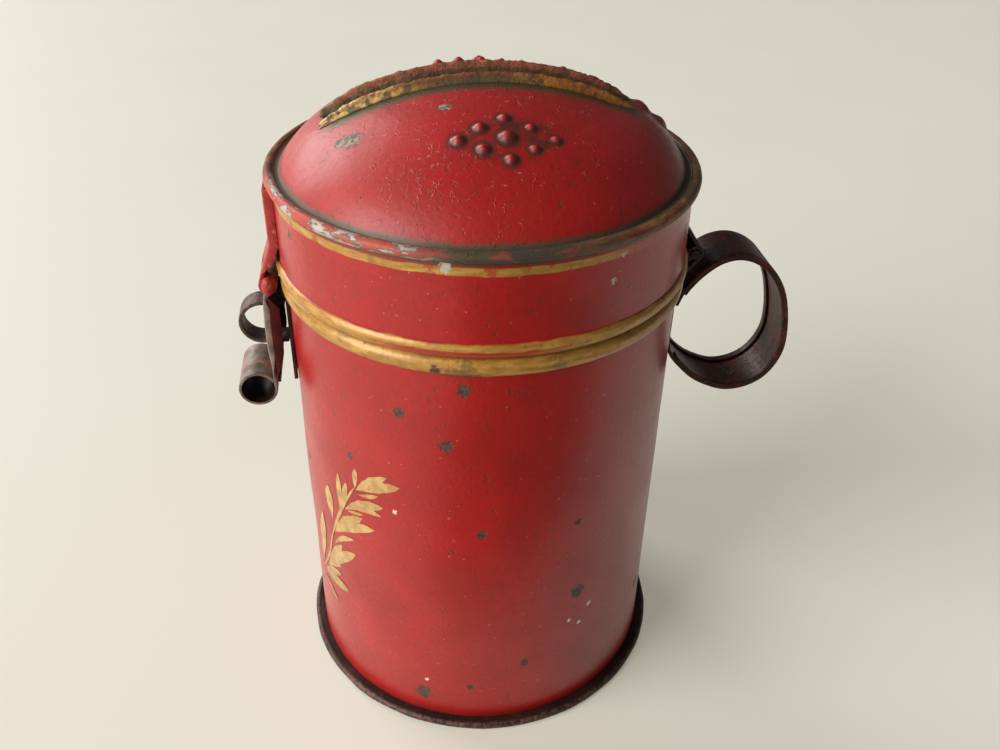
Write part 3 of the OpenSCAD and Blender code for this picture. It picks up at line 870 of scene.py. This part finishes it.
old_paint, given, end = new_effect("old_paint", ("Place", "Cell", "Cracked"),
                                   ("Clouds", "Cracks", "Pale", "Dark", "Relief"))
w = old_paint
mottle = w.times(w.minus(w.grain(0.9), 0.5), 0.55)
clouds = w.soft_step(w.plus(w.grain(14, 4.0), mottle), 0.25, 0.75)
bent = w.put("ShaderNodeTexNoise", {"Vector": w.place, "Scale": 0.55, "Detail": 2.0}).outputs["Color"]
bent = w.put("ShaderNodeVectorMath", {0: bent, 1: (3.0, 3.0, 3.0), 2: w.place}, operation="MULTIPLY_ADD")
cells = {"Vector": bent.outputs["Vector"], "Scale": w.divide(1.0, given["Cell"])}
web = w.put("ShaderNodeTexVoronoi", cells, feature="DISTANCE_TO_EDGE").outputs["Distance"]
crazed_here = w.soft_step(w.plus(w.grain(4.5), given["Cracked"]), 1.0, 1.12)
cracks = w.all_of(w.soft_step(web, 0.05, 0.015), crazed_here, w.patches(1.6, 0.5, 0.6))
pale = w.any_of(specks(w, (1, 1, 1), 1.5, 0.2), specks(w, (0.7, 1.2, 1.0), 1.9, 0.05))
pits = w.times(w.patches(1.3, 0.63, 0.69, 2.0, w.stretch((1, 1, 0.7))), w.patches(11, 0.4, 0.6, 2.0))
dark = w.any_of(specks(w, (1.1, 1.1, 0.9), 2.0, 0.2), w.times(pits, 0.6))
relief = w.plus(w.times(w.grain(1.1, 4.0), 0.5), w.times(cracks, 0.45))
relief = w.minus(relief, w.times(dark, 0.4))
w.feed(end, {"Clouds": clouds, "Cracks": cracks, "Pale": pale, "Dark": dark, "Relief": relief})
print(old_paint.tree.name, "has", len(old_paint.tree.nodes), "nodes")

# %% [markdown]
# Three smaller groups follow: a chip at a given place, ragged at its edge; a band painted by hand
# between two heights, with edges that wander; and patches where wear has gone through, which are noise
# with a hard threshold and a soft one.

# %% Chip, hand-painted band and worn patches
chip, given, end = new_effect("chip", ("Place", "Centre", "Size", "Ragged"), ("Depth",))
far = chip.divide(chip.distance(chip.place, given["Centre"]), given["Size"])
chip.feed(end, {"Depth": chip.minus(2.0, chip.plus(far, given["Ragged"]))})

hand_band, given, end = new_effect("hand_band", ("Place", "Low", "High", "Soft"), ("Mask",))
w = hand_band
up = w.plus(w.split()[2], w.times(w.minus(w.grain(5.0, 4.0), 0.5), 0.8))
edges = [w.put("ShaderNodeMapRange", {"Value": gap, "From Min": 0.0, "From Max": given["Soft"]}).outputs[0]
         for gap in (w.minus(up, given["Low"]), w.minus(given["High"], up))]
w.feed(end, {"Mask": w.all_of(*edges)})

worn, given, end = new_effect("worn_patches", ("Place", "Size", "Amount"), ("Mask", "Fine"))
w = worn
torn = w.put("ShaderNodeTexNoise", {"Vector": w.place, "Scale": w.divide(1.0, given["Size"]),
                                    "Detail": 6.0, "Roughness": 0.65}).outputs["Fac"]
level = w.plus(torn, given["Amount"])
w.feed(end, {"Mask": w.soft_step(level, 0.98, 1.04), "Fine": w.soft_step(level, 0.85, 1.15)})
print("effects:", [group.name for group in bpy.data.node_groups])

# %% [markdown]
# Gilding shows on the bands, the lips and the leaf spray. It is bronze powder in varnish: warm, partly
# metallic, brushed along the band, and browned where the varnish has aged. It is a group as well,
# because the drum, the lid and the lips all carry it.

# %% Gilding and the tones of the paint
gilding, given, end = new_effect("gilding", ("Place",), ("Colour", "Roughness", "Whole"))
w = gilding
brushed = w.grain(4.0, 5.0, w.stretch((1, 1, 5)))
tone = w.lay_over(w.soft_step(brushed, 0.25, 0.75), rgb(0.32, 0.150, 0.020), rgb(0.54, 0.29, 0.058))
tone = w.lay_over(w.times(w.patches(6.0, 0.56, 0.72, 4.0), 0.6), tone, rgb(0.17, 0.09, 0.016))
w.feed(end, {"Colour": tone, "Roughness": w.between(brushed, 0.3, 0.55),
             "Whole": w.patches(1.1, 0.7, 0.58, 5.0)})

GOLD_METAL = 0.22
DEEP_RED, FULL_RED, PINK_RED = rgb(0.30, 0.004, 0.003), rgb(0.39, 0.006, 0.005), rgb(0.56, 0.14, 0.11)
GRIME, RUST, OLIVE = rgb(0.026, 0.015, 0.008), rgb(0.10, 0.025, 0.012), rgb(0.060, 0.046, 0.020)
TIN, DULL_TIN = rgb(0.46, 0.43, 0.38), rgb(0.27, 0.235, 0.16)
JAPAN, JAPAN_RED = rgb(0.022, 0.009, 0.004), rgb(0.095, 0.015, 0.009)


def red_ground(f, crack_size, cracked):
    """Lays red paint with its clouds, cracks and specks; gives the effect's outputs."""
    age = f.use(old_paint, Cell=crack_size, Cracked=cracked)
    f.colour = f.lay_over(age["Clouds"], DEEP_RED, FULL_RED)
    f.paint(PINK_RED, age["Cracks"], 0.3)
    f.paint(PINK_RED, age["Pale"], 0.6)
    f.paint(RUST, age["Dark"], 0.8)
    return age


print(gilding.tree.name, "has", len(gilding.tree.nodes), "nodes")

# %% [markdown]
# On the side that shows, chips, stains and flecks sit where they are on the real box; those behind are
# only like them. Each is given by its azimuth, its height and its size. An image could be painted for
# them; a list of places can be read and changed.

# %% Chips in their places
BAND_STAINS = [(256.0, 96.6, 1.5), (259.5, 96.8, 1.7), (283.0, 97.0, 1.4)]
DRUM_CHIPS = [
    (258.7, 92.3, 1.2), (241.0, 85.3, 1.0), (253.8, 79.3, 1.2), (222.9, 70.1, 0.75), (194.2, 57.1, 1.0),
    (263.5, 57.9, 0.95), (294.2, 36.3, 1.5), (292.5, 56.7, 0.8), (244.8, 8.0, 1.8), (260.0, 11.9, 0.7),
    (277.5, 18.6, 0.9), (40.0, 60.0, 1.4), (95.0, 33.0, 1.5), (128.0, 78.0, 1.2), (330.0, 20.0, 1.5),
    (70.0, 88.0, 1.0), (150.0, 12.0, 1.9)]
BEAD_CHIPS = [(251.9, 96.9, 0.8)]
DRUM_FLECKS = [(238.0, 60.4, 0.54), (299.5, 30.5, 0.6), (296.0, 26.0, 0.504), (292.0, 28.0, 0.432),
               (246.0, 12.5, 0.48)]


def round_wall(spots, radius=DRUM_R):
    """Centre and size of each spot on a round wall."""
    placed = []
    for azimuth, height, size in spots:
        turn = math.radians(azimuth)
        placed.append(((radius * math.cos(turn), radius * math.sin(turn), height), size))
    return placed


def chips_at(f, spots, ragged_size=0.8):
    """Masks of the chips and of their broken edges."""
    ragged = f.times(f.minus(f.grain(ragged_size, 4.0), 0.5), 2.8)
    depths = [f.use(chip, Centre=centre, Size=size, Ragged=ragged)["Depth"] for centre, size in spots]
    deepest = f.any_of(0.0, *depths)
    return f.soft_step(deepest, 0.9, 1.25), f.soft_step(deepest, 0.5, 1.0)


print("chips on the drum:", len(DRUM_CHIPS) + len(BEAD_CHIPS))

# %% [markdown]
# The drum's paint is a red ground with a gold band on the bead, a rub of rust, stains on the gold and
# grime at the foot. The chips go through to dark metal and have a thin, rusty broken edge.

# %% Drum paint
RED_COAT, RED_GLOSS, RED_CRACKS, RED_CRACKED, RED_RELIEF = 0.42, 0.36, 3.2, 0.36, 0.15
f = Finish("drum_paint", RED_COAT, RED_GLOSS)
age = red_ground(f, RED_CRACKS, RED_CRACKED)
gold = f.use(gilding)
band = f.use(hand_band, Low=95.4, High=101.0, Soft=0.25)["Mask"]
gilt = f.times(band, f.between(gold["Whole"], 0.6, 1.0))
f.paint(gold["Colour"], gilt)
f.paint(RUST, f.use(worn, Place=f.stretch((1, 1, 0.2)), Size=1.6, Amount=0.36)["Fine"], 0.16)
f.paint(OLIVE, chips_at(f, round_wall(BAND_STAINS))[1], 0.45)
foot = f.times(f.soft_step(f.split()[2], 3.4, 1.6), f.between(f.patches(3.0, 0.35, 0.6), 0.5, 1.0))
f.paint(GRIME, foot, 0.7)
chipped, broken = chips_at(f, round_wall(DRUM_CHIPS) + round_wall(BEAD_CHIPS, DRUM_R + 1.2))
f.paint(RUST, broken, 0.5)
dark_metal = f.lay_over(f.patches(1.0, 0.35, 0.65), rgb(0.045, 0.018, 0.012), rgb(0.095, 0.050, 0.037))
f.paint(dark_metal, chipped)
f.paint(rgb(0.75, 0.62, 0.55), chips_at(f, round_wall(DRUM_FLECKS), 0.3)[0])
roughness = f.between(chipped, f.between(age["Clouds"], 0.42, 0.35), 0.75)
drum_paint = f.end(f.between(gilt, roughness, gold["Roughness"]),
                   f.minus(age["Relief"], f.times(chipped, 0.9)), RED_RELIEF, f.times(gilt, GOLD_METAL))

# %% [markdown]
# The skirt carries a thin gold line under the rim and the upper half of the gold band at the join.
# A painted shadow lies under the roll, the line is rubbed off towards the hinge, and red shows along the
# lower edge of the band in front. Towards the hinge the red is darkened with painted shade.

# %% Skirt paint
SKIRT_FLECKS = [(296.5, 111.5, 0.6), (254.6, 117.1, 1.0), (299.0, 116.0, 0.5)]
SKIRT_CHIPS = [(205.0, 113.5, 0.9), (60.0, 108.0, 1.3), (140.0, 112.0, 1.1)]
f = Finish("skirt_paint", RED_COAT, RED_GLOSS)
x, y, z = f.split()
turn = f.maths("ARCTAN2", y, x)
age = red_ground(f, RED_CRACKS, RED_CRACKED)
gold = f.use(gilding)
patchy = f.use(worn, Size=2.2, Amount=0.42)
thin_line = f.all_of(f.use(hand_band, Low=115.6, High=117.3, Soft=0.2)["Mask"],
                     f.between(f.soft_step(turn, -1.25, -0.85), 1.0, 0.15),
                     f.between(patchy["Mask"], 1.0, 0.3))
low_edge = f.soft_step(f.plus(z, f.times(f.grain(3.0), 0.9)), 102.05, 101.65)
red_edge = f.times(f.window(turn, -2.25, -2.0, -1.55, -1.2), low_edge)
band = f.all_of(f.use(hand_band, Low=90.0, High=102.7, Soft=0.25)["Mask"],
                f.between(gold["Whole"], 0.55, 1.0), f.between(red_edge, 1.0, 0.1))
gilt = f.any_of(band, thin_line)
f.paint(gold["Colour"], gilt)
# Painted shadow: olive just under the rim roll, where the roll overhangs the skirt.
f.paint(OLIVE, f.times(f.soft_step(z, 116.9, 118.0), f.between(patchy["Fine"], 1.0, 0.6)))
# Painted shade: the red is darkened in streaks towards the hinge, the side away from the lamps.
shaded_hinge_side = f.times(f.soft_step(x, 24.0, 41.0), f.patches(5.0, 0.3, 0.7, place=f.stretch((1, 1, 0.4))))
f.paint(DEEP_RED, shaded_hinge_side, 0.5)
f.paint(rgb(0.46, 0.42, 0.33), chips_at(f, round_wall(SKIRT_FLECKS, LID_R))[0])
chipped = chips_at(f, round_wall(SKIRT_CHIPS, LID_R))[0]
f.paint(GRIME, chipped)
skirt_paint = f.end(f.between(gilt, f.between(age["Clouds"], 0.42, 0.35), gold["Roughness"]),
                    f.minus(age["Relief"], f.times(chipped, 0.9)), RED_RELIEF, f.times(gilt, GOLD_METAL))

# %% [markdown]
# The dome is the most worn: its varnish is crazed, grime lies round the bosses and in the groove behind the
# rim, a dark band along the foot of the lips is partly grime and partly painted shade, and the right flank
# carries painted shade. The roll is rubbed down to tin at the left, where it also carries painted light,
# and to brown undercoat at the right. First come the coats on the crown.

# %% Dome paint on the crown
DOME_CHIPS = [((-25.1, -13.5, 129.2), 1.9), ((-27.0, -12.6, 128.6), 1.0), ((-8.4, -12.0, 134.2), 1.0),
              ((12.0, 15.0, 132.6), 1.3), ((-14.0, 26.0, 127.8), 1.5)]
f = Finish("dome_paint", coat=0.2)
x, y, z = f.split()
side = f.size_of(y)
radius, turn = f.hypot(x, y), f.maths("ARCTAN2", y, x)
age = red_ground(f, 2.2, f.between(f.soft_step(x, -4.0, 22.0), 0.58, 0.42))
from_above = f.join(x, side)
nearest = 9.0
for (boss_x, boss_y), size, rise in rosette(1):
    gap = f.distance(from_above, (boss_x, boss_y, 0))
    nearest = f.maths("MINIMUM", f.divide(gap, size), nearest)
oval = f.hypot(f.divide(f.minus(x, ROSETTE_SHIFT), ROSETTE_X),
               f.divide(f.minus(side, ROSETTE_OFF), ROSETTE_Y))
around = f.all_of(f.soft_step(oval, 1.3, 0.75), f.patches(3.0, 0.4, 0.62), f.soft_step(nearest, 0.3, 0.85))
f.paint(GRIME, f.any_of(f.window(nearest, 0.45, 0.95, 1.0, 2.1), around), 0.8)
# Painted shade: olive over the right flank, the side away from the lamps.
f.paint(OLIVE, f.times(f.soft_step(x, 26.0, 37.0), f.patches(5.0, 0.3, 0.65)), 0.6)
# Along the foot of the lips the dome is darkened with olive: partly grime, partly painted shade under the
# lips.
lip_foot_grime_and_shade = f.times(f.soft_step(side, 8.4, 5.0), f.soft_step(f.size_of(x), 33.0, 27.0))
f.paint(OLIVE, f.times(lip_foot_grime_and_shade, f.soft_step(f.plus(lip_foot_grime_and_shade, f.grain(2.5)), 0.5, 1.05)))
at_shoulder = f.times(f.soft_step(z, 121.3, 120.0), f.between(f.patches(4.0, 0.3, 0.65), 0.15, 1.0))
f.paint(OLIVE, at_shoulder, 0.85)
chipped, broken = chips_at(f, DOME_CHIPS)
f.paint(RUST, broken, 0.5)
f.paint(f.lay_over(f.patches(1.0, 0.38, 0.58), OLIVE, DULL_TIN), chipped)
print("crown has", len(DOME_CHIPS), "chips and", len(rosette(1)), "bosses on each side")

# %% [markdown]
# The same finish goes on over the groove and the roll. The pattern of the wear is read along the rim,
# by the turn round the axis, so that it is drawn out the way a hand rubs it.

# %% Dome paint on the rim
groove = f.times(f.soft_step(radius, 38.7, 39.3), f.soft_step(z, 121.0, 120.4))
# The groove holds dark olive grime; towards the lit left it is painted paler, as painted light.
f.paint(f.lay_over(f.soft_step(x, 0.0, -30.0), OLIVE, rgb(0.13, 0.10, 0.065)), groove)
roll = f.times(f.soft_step(radius, 40.2, 40.5), f.soft_step(z, 121.0, 120.6))
along_rim = f.join(f.times(turn, 0.32 * RIM_R), radius, z)
rub = f.use(worn, Place=along_rim, Size=1.3, Amount=0.49)
red_left = f.use(worn, Place=along_rim, Size=1.8, Amount=0.44)["Mask"]
# At the left front the roll is painted a paler red, as painted light on the lit side; its tin there is
# partly wear and partly a painted highlight.
lit_left_front = f.window(turn, -3.12, -2.9, -2.1, -1.75)
right_side = f.soft_step(turn, -1.5, -0.9)
tone = f.lay_over(red_left, f.lay_over(rub["Fine"], OLIVE, GRIME), rgb(0.19, 0.024, 0.014))
tone = f.lay_over(f.times(right_side, rub["Fine"]), tone, rgb(0.30, 0.10, 0.022))
tone = f.lay_over(f.times(lit_left_front, f.soft_step(rub["Fine"], 0.7, 0.3)), tone, rgb(0.42, 0.06, 0.035))
to_tin = f.times(f.any_of(lit_left_front, 0.04), rub["Mask"])
f.paint(f.lay_over(to_tin, tone, TIN), roll)
bare = f.times(roll, to_tin)
relief = f.plus(age["Relief"], f.times(age["Cracks"], 0.15))
relief = f.minus(relief, f.times(f.any_of(chipped, bare), 0.8))
roughness = f.between(f.any_of(groove, chipped), f.between(age["Clouds"], 0.54, 0.46), 0.75)
dome_paint = f.end(roughness, relief, RED_RELIEF, f.times(bare, 0.6))

# %% [markdown]
# The lips were gilded. Coins have rubbed the front one down in the middle, and the back one shows
# mostly old pinkish undercoat.

# %% Lip gilding
def lip_finish(name, gold_left, undercoat):
    f = Finish(name, coat=0.1)
    x, y, z = f.split()
    gold = f.use(gilding)
    rub = f.use(worn, Size=2.6, Amount=0.48)["Mask"]
    rubbed_middle = f.window(x, -17.0, -9.0, 3.0, 12.0)
    above = f.minus(f.hypot(x, f.minus(z, CROWN_Z)), CROWN_R)
    top_edge = f.times(f.soft_step(above, 0.5, 1.3), f.patches(1.6, 0.3, 0.55))
    f.colour = f.lay_over(top_edge, OLIVE, undercoat)
    kept = f.times(f.between(rubbed_middle, gold_left, 0.12), f.between(rub, 1.0, 0.15))
    warm = f.lay_over(f.soft_step(x, 2.0, 16.0), gold["Colour"], rgb(0.36, 0.13, 0.02))
    # Painted highlight: towards the left end, on the lit side, the gold is painted paler.
    f.paint(f.lay_over(f.soft_step(x, -14.0, -22.0), warm, rgb(0.60, 0.39, 0.14)), kept)
    f.paint(RUST, f.use(worn, Size=1.1, Amount=0.40)["Fine"], 0.6)
    return f.end(f.between(kept, 0.65, 0.42), f.grain(0.7, 5.0), 0.2, f.times(kept, GOLD_METAL))


front_lip_gilding = lip_finish("front_lip_gilding", 0.9, rgb(0.20, 0.045, 0.025))
back_lip_gilding = lip_finish("back_lip_gilding", 0.18, rgb(0.30, 0.075, 0.05))

# %% [markdown]
# The leaves have the same gilding as the bands, but paler and thinner, so that the red shows through
# where it is rubbed, and browned towards the foot of the spray.

# %% Leaf gilding
f = Finish("leaf_gilding", coat=0.2, colour=DEEP_RED)
whole = f.use(gilding)["Whole"]
thin_gold = f.times(f.between(whole, 0.55, 1.0), f.between(f.patches(7.0, 0.35, 0.55), 0.75, 1.0))
pale_gold = f.lay_over(f.patches(2.2, 0.35, 0.65, 4.0), rgb(0.44, 0.26, 0.085), rgb(0.62, 0.41, 0.16))
low_down = f.times(f.soft_step(f.split()[2], 42.0, 22.0), 0.45)
f.paint(f.lay_over(low_down, pale_gold, rgb(0.20, 0.14, 0.05)), thin_gold)
leaf_gilding = f.end(f.between(thin_gold, 0.45, 0.4), f.grain(0.8, 4.0), 0.03, f.times(thin_gold, 0.25))

# %% [markdown]
# Ring, hinge and plate have a dark brown-red varnish, nearly black in places and rubbed to dull red in
# others. The hasp has lost most of its paint and is grey tin, red in places. The same function makes
# all of them, from a ground, a second tone, the tone that shows where they are rubbed, and the wear.

# %% Dark varnish, worn tin and wire
OLD_CRACKS = {"Cell": 2.0, "Cracked": 0.4}


def strap_finish(name, ground, second, rubbed_to, wear, metal=0.0, gloss=0.32, size=1.3):
    f = Finish(name, gloss=gloss)
    age = f.use(old_paint, **OLD_CRACKS)
    rub = f.use(worn, Size=size, Amount=wear)
    f.colour = f.lay_over(f.use(worn, Size=5.0, Amount=0.48)["Fine"], ground, second)
    f.paint(rubbed_to, rub["Mask"], 0.8)
    f.paint(GRIME, age["Dark"], 0.7)
    relief = f.minus(age["Relief"], f.times(rub["Mask"], 0.4))
    return f.end(f.between(rub["Fine"], 0.45, 0.62), relief, 0.1, f.times(rub["Mask"], metal))


dark_varnish = strap_finish("dark_varnish", JAPAN, JAPAN_RED, rgb(0.15, 0.045, 0.028), 0.42)
hasp_tin = strap_finish("hasp_tin", rgb(0.27, 0.215, 0.175), rgb(0.10, 0.068, 0.052),
                        rgb(0.40, 0.14, 0.11), 0.41, size=3.2)
hasp_red = strap_finish("hasp_red_paint", rgb(0.42, 0.045, 0.040), rgb(0.30, 0.028, 0.024),
                        rgb(0.50, 0.20, 0.17), 0.40)
# The backing behind the flap takes a much darker copy of the hasp's red: painted shade.
inner_red_in_shade = strap_finish("hasp_inner_paint", rgb(0.085, 0.006, 0.006), rgb(0.040, 0.005, 0.004),
                         rgb(0.16, 0.04, 0.035), 0.34, gloss=0.15)
# Inside the rolled grip the finish is nearly black: partly rust, partly painted shade in the hollow.
grip_hollow_shade = strap_finish("grip_hollow_shade", rgb(0.022, 0.009, 0.007), rgb(0.012, 0.007, 0.005),
                           rgb(0.06, 0.02, 0.015), 0.36, gloss=0.08)
staple_brown = strap_finish("staple_brown", rgb(0.085, 0.058, 0.045), rgb(0.035, 0.02, 0.015),
                            rgb(0.20, 0.13, 0.11), 0.44, metal=0.3)
bare_tin = strap_finish("inside_tin", rgb(0.36, 0.345, 0.31), rgb(0.25, 0.23, 0.20),
                        rgb(0.16, 0.10, 0.06), 0.38)
iron_wire = strap_finish("dark_wire", rgb(0.06, 0.045, 0.038), rgb(0.03, 0.016, 0.012),
                         rgb(0.15, 0.10, 0.08), 0.42, metal=0.4)

# %% [markdown]
# The base seam has a dark varnish too, rubbed to a dull pinkish brown along the edge that it stands on
# and slides with.

# %% Seam varnish
f = Finish("seam_varnish", gloss=0.38)
x, y = f.split()[:2]
age = f.use(old_paint, **OLD_CRACKS)
edge_wear = f.times(f.soft_step(f.hypot(x, y), 41.5, 42.3), f.use(worn, Size=1.0, Amount=0.47)["Fine"])
broad = f.use(worn, Size=4.0, Amount=0.5)["Fine"]
f.colour = f.lay_over(broad, rgb(0.014, 0.007, 0.005), rgb(0.040, 0.012, 0.008))
f.paint(rgb(0.17, 0.075, 0.06), edge_wear)
seam_varnish = f.end(f.between(edge_wear, 0.5, 0.65), age["Relief"], 0.25)

# %% [markdown]
# Each piece now takes its finish. The inner faces of drum, skirt and dome stay bare tin; they are the faces
# that look at the middle of the box. The hollow of the hasp's grip gets a nearly black finish in the same
# way, partly rust and partly painted shade.

# %% Finishes on the pieces
INWARDS = -0.3


def dress(piece, outside, inside=None, away=from_axis):
    """One finish outside and another on the faces that look back along the direction that away gives."""
    piece.data.materials.append(outside)
    if inside is None:
        return
    piece.data.materials.append(inside)
    turned_in = [face for face in piece.data.polygons
                 if face.normal.dot(away(face.center).normalized()) < INWARDS]
    for face in turned_in:
        face.material_index = 1
    print(piece.name, "has", len(turned_in), "faces of", inside.name)


def from_dome_middle(point):
    return point - Vector((0, 0, 90 * MM))


def from_grip(point):
    """From the middle of the hasp's rolled grip; points off the grip count as outside."""
    off = Vector((point.x + GRIP[0] * MM, 0, point.z - GRIP[1] * MM))
    return off if off.length < GRIP_R * MM else Vector((0, 0, 0))


dress(drum, drum_paint, bare_tin)
dress(skirt, skirt_paint, bare_tin)
dress(dome, dome_paint, bare_tin, from_dome_middle)
dress(hasp_flap, hasp_tin, grip_hollow_shade, from_grip)
for piece, finish in ((spray, leaf_gilding), (base, seam_varnish), (lip_front, front_lip_gilding),
                      (lip_back, back_lip_gilding), (hinge_strap, dark_varnish), (hinge_leaf, dark_varnish),
                      (ring, dark_varnish), (hems, dark_varnish), (plate, dark_varnish),
                      (hasp_strap, hasp_red), (hasp_back, inner_red_in_shade), (staple, staple_brown)):
    dress(piece, finish)
for name, finish in (("neck_collar", bare_tin), ("rim_wire", iron_wire), ("hinge_pin", dark_varnish),
                     ("hasp_pin", dark_varnish)):
    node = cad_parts[name]
    node.data.materials.clear()
    node.data.materials.append(finish)
print("finishes:", len(bpy.data.materials))

# %% [markdown]
# The box stands on a plain pale table top that fills the picture, and its shadow falls there. Part of
# the paleness is emission that only the camera and reflections see, so that it lights nothing else.
# For reflections the table is dim in front of the box, where less light comes from; that keeps the
# front of the drum a deep red between its two pale sides.

# %% Table top
TURN = math.radians(-8.0)
TABLE_HALF = 4.0
table_bm = bmesh.new()
bmesh.ops.create_grid(table_bm, x_segments=1, y_segments=1, size=TABLE_HALF)
table_mesh = bpy.data.meshes.new("table_top")
table_bm.to_mesh(table_mesh)
table_bm.free()
table_top = bpy.data.objects.new("table_top", table_mesh)
bpy.context.scene.collection.objects.link(table_top)

f = Finish("pale_table", gloss=0.3)
sheen = f.grain(60.0, 2.0)
ray = f.put("ShaderNodeLightPath", {}).outputs
facing = f.put("ShaderNodeVectorRotate", {"Vector": f.place, "Angle": -TURN}, rotation_type="Z_AXIS")
across, ahead = f.split(facing.outputs["Vector"])[:2]
in_front = f.times(f.window(across, -65.0, -15.0, 140.0, 250.0), f.soft_step(ahead, -62.0, -95.0))
dim = f.times(in_front, ray["Is Glossy Ray"])
f.colour = f.lay_over(sheen, rgb(0.56, 0.55, 0.505), rgb(0.59, 0.58, 0.535))
f.paint(rgb(0.03, 0.028, 0.025), dim)
seen = f.any_of(ray["Is Camera Ray"], ray["Is Transmission Ray"], f.minus(ray["Is Glossy Ray"], dim))
f.feed(f.shader, {"Base Color": f.colour, "Roughness": f.between(sheen, 0.5, 0.6),
                  "Emission Color": rgb(0.24, 0.23, 0.185), "Emission Strength": seen})
table_top.data.materials.append(f.material)
print("table top", table_top.dimensions[:2])

# %% [markdown]
# The photograph has a broad soft light, low on the left and a little in front, a second one farther
# back that lies as a haze on the dome, and a dim right side. Two large area lamps a few steps away
# give such light. The world fills in weakly; only the camera sees it pale, as a plain backdrop.

# %% Light
WORLD_FILL, WORLD_SEEN = 0.12, 0.75


def soft_lamp(name, place, aim, size, watts, tint):
    """Square area lamp that looks at a point."""
    lamp_data = bpy.data.lights.new(name, "AREA")
    lamp_data.shape, lamp_data.size = "SQUARE", size
    lamp_data.energy, lamp_data.color = watts, tint
    lamp = bpy.data.objects.new(name, lamp_data)
    facing = (Vector(aim) - Vector(place)).to_track_quat("-Z", "Y")
    lamp.matrix_world = Matrix.Translation(place) @ facing.to_matrix().to_4x4()
    bpy.context.scene.collection.objects.link(lamp)


soft_lamp("window_light", (-3.4, -1.4, 1.66), (0, 0, 0.07), 3.0, 250.0, (1.0, 0.97, 0.92))
soft_lamp("far_window", (-2.8, 3.3, 2.15), (0, 0, 0.10), 2.6, 138.0, (1.0, 0.98, 0.95))
world = bpy.data.worlds.new("room")
world.use_nodes = True
w = Wiring(world.node_tree, None)
seen = w.put("ShaderNodeLightPath", {}).outputs["Is Camera Ray"]
w.feed(world.node_tree.nodes["Background"], {"Color": rgb(0.92, 0.91, 0.85),
                                             "Strength": w.between(seen, WORLD_FILL, WORLD_SEEN)})
bpy.context.scene.world = world
print("lamps:", [lamp.name for lamp in bpy.data.lights])

# %% [markdown]
# The camera's height, tilt and lens were worked out from the three circles that the photograph shows:
# the base, the join and the rim. The box is turned a little, so the camera goes round it by the same.

# %% Camera
EYE = Vector((4.023, -182.976, 192.41)) * MM
TILT, ROLL = math.radians(55.97), 0.0184
camera_data = bpy.data.cameras.new("photo_camera")
camera_data.sensor_width, camera_data.lens = 36.0, 35.5
camera_data.clip_start = 0.01
camera = bpy.data.objects.new("photo_camera", camera_data)
camera.matrix_world = (Matrix.Rotation(TURN, 4, "Z") @ Matrix.Translation(EYE)
                       @ Matrix.Rotation(TILT, 4, "X") @ Matrix.Rotation(ROLL, 4, "Z"))
bpy.context.scene.collection.objects.link(camera)
bpy.context.scene.camera = camera
bpy.context.scene.view_settings.view_transform = "Standard"
print("camera at", [round(value, 3) for value in camera.matrix_world.translation])

# %% [markdown]
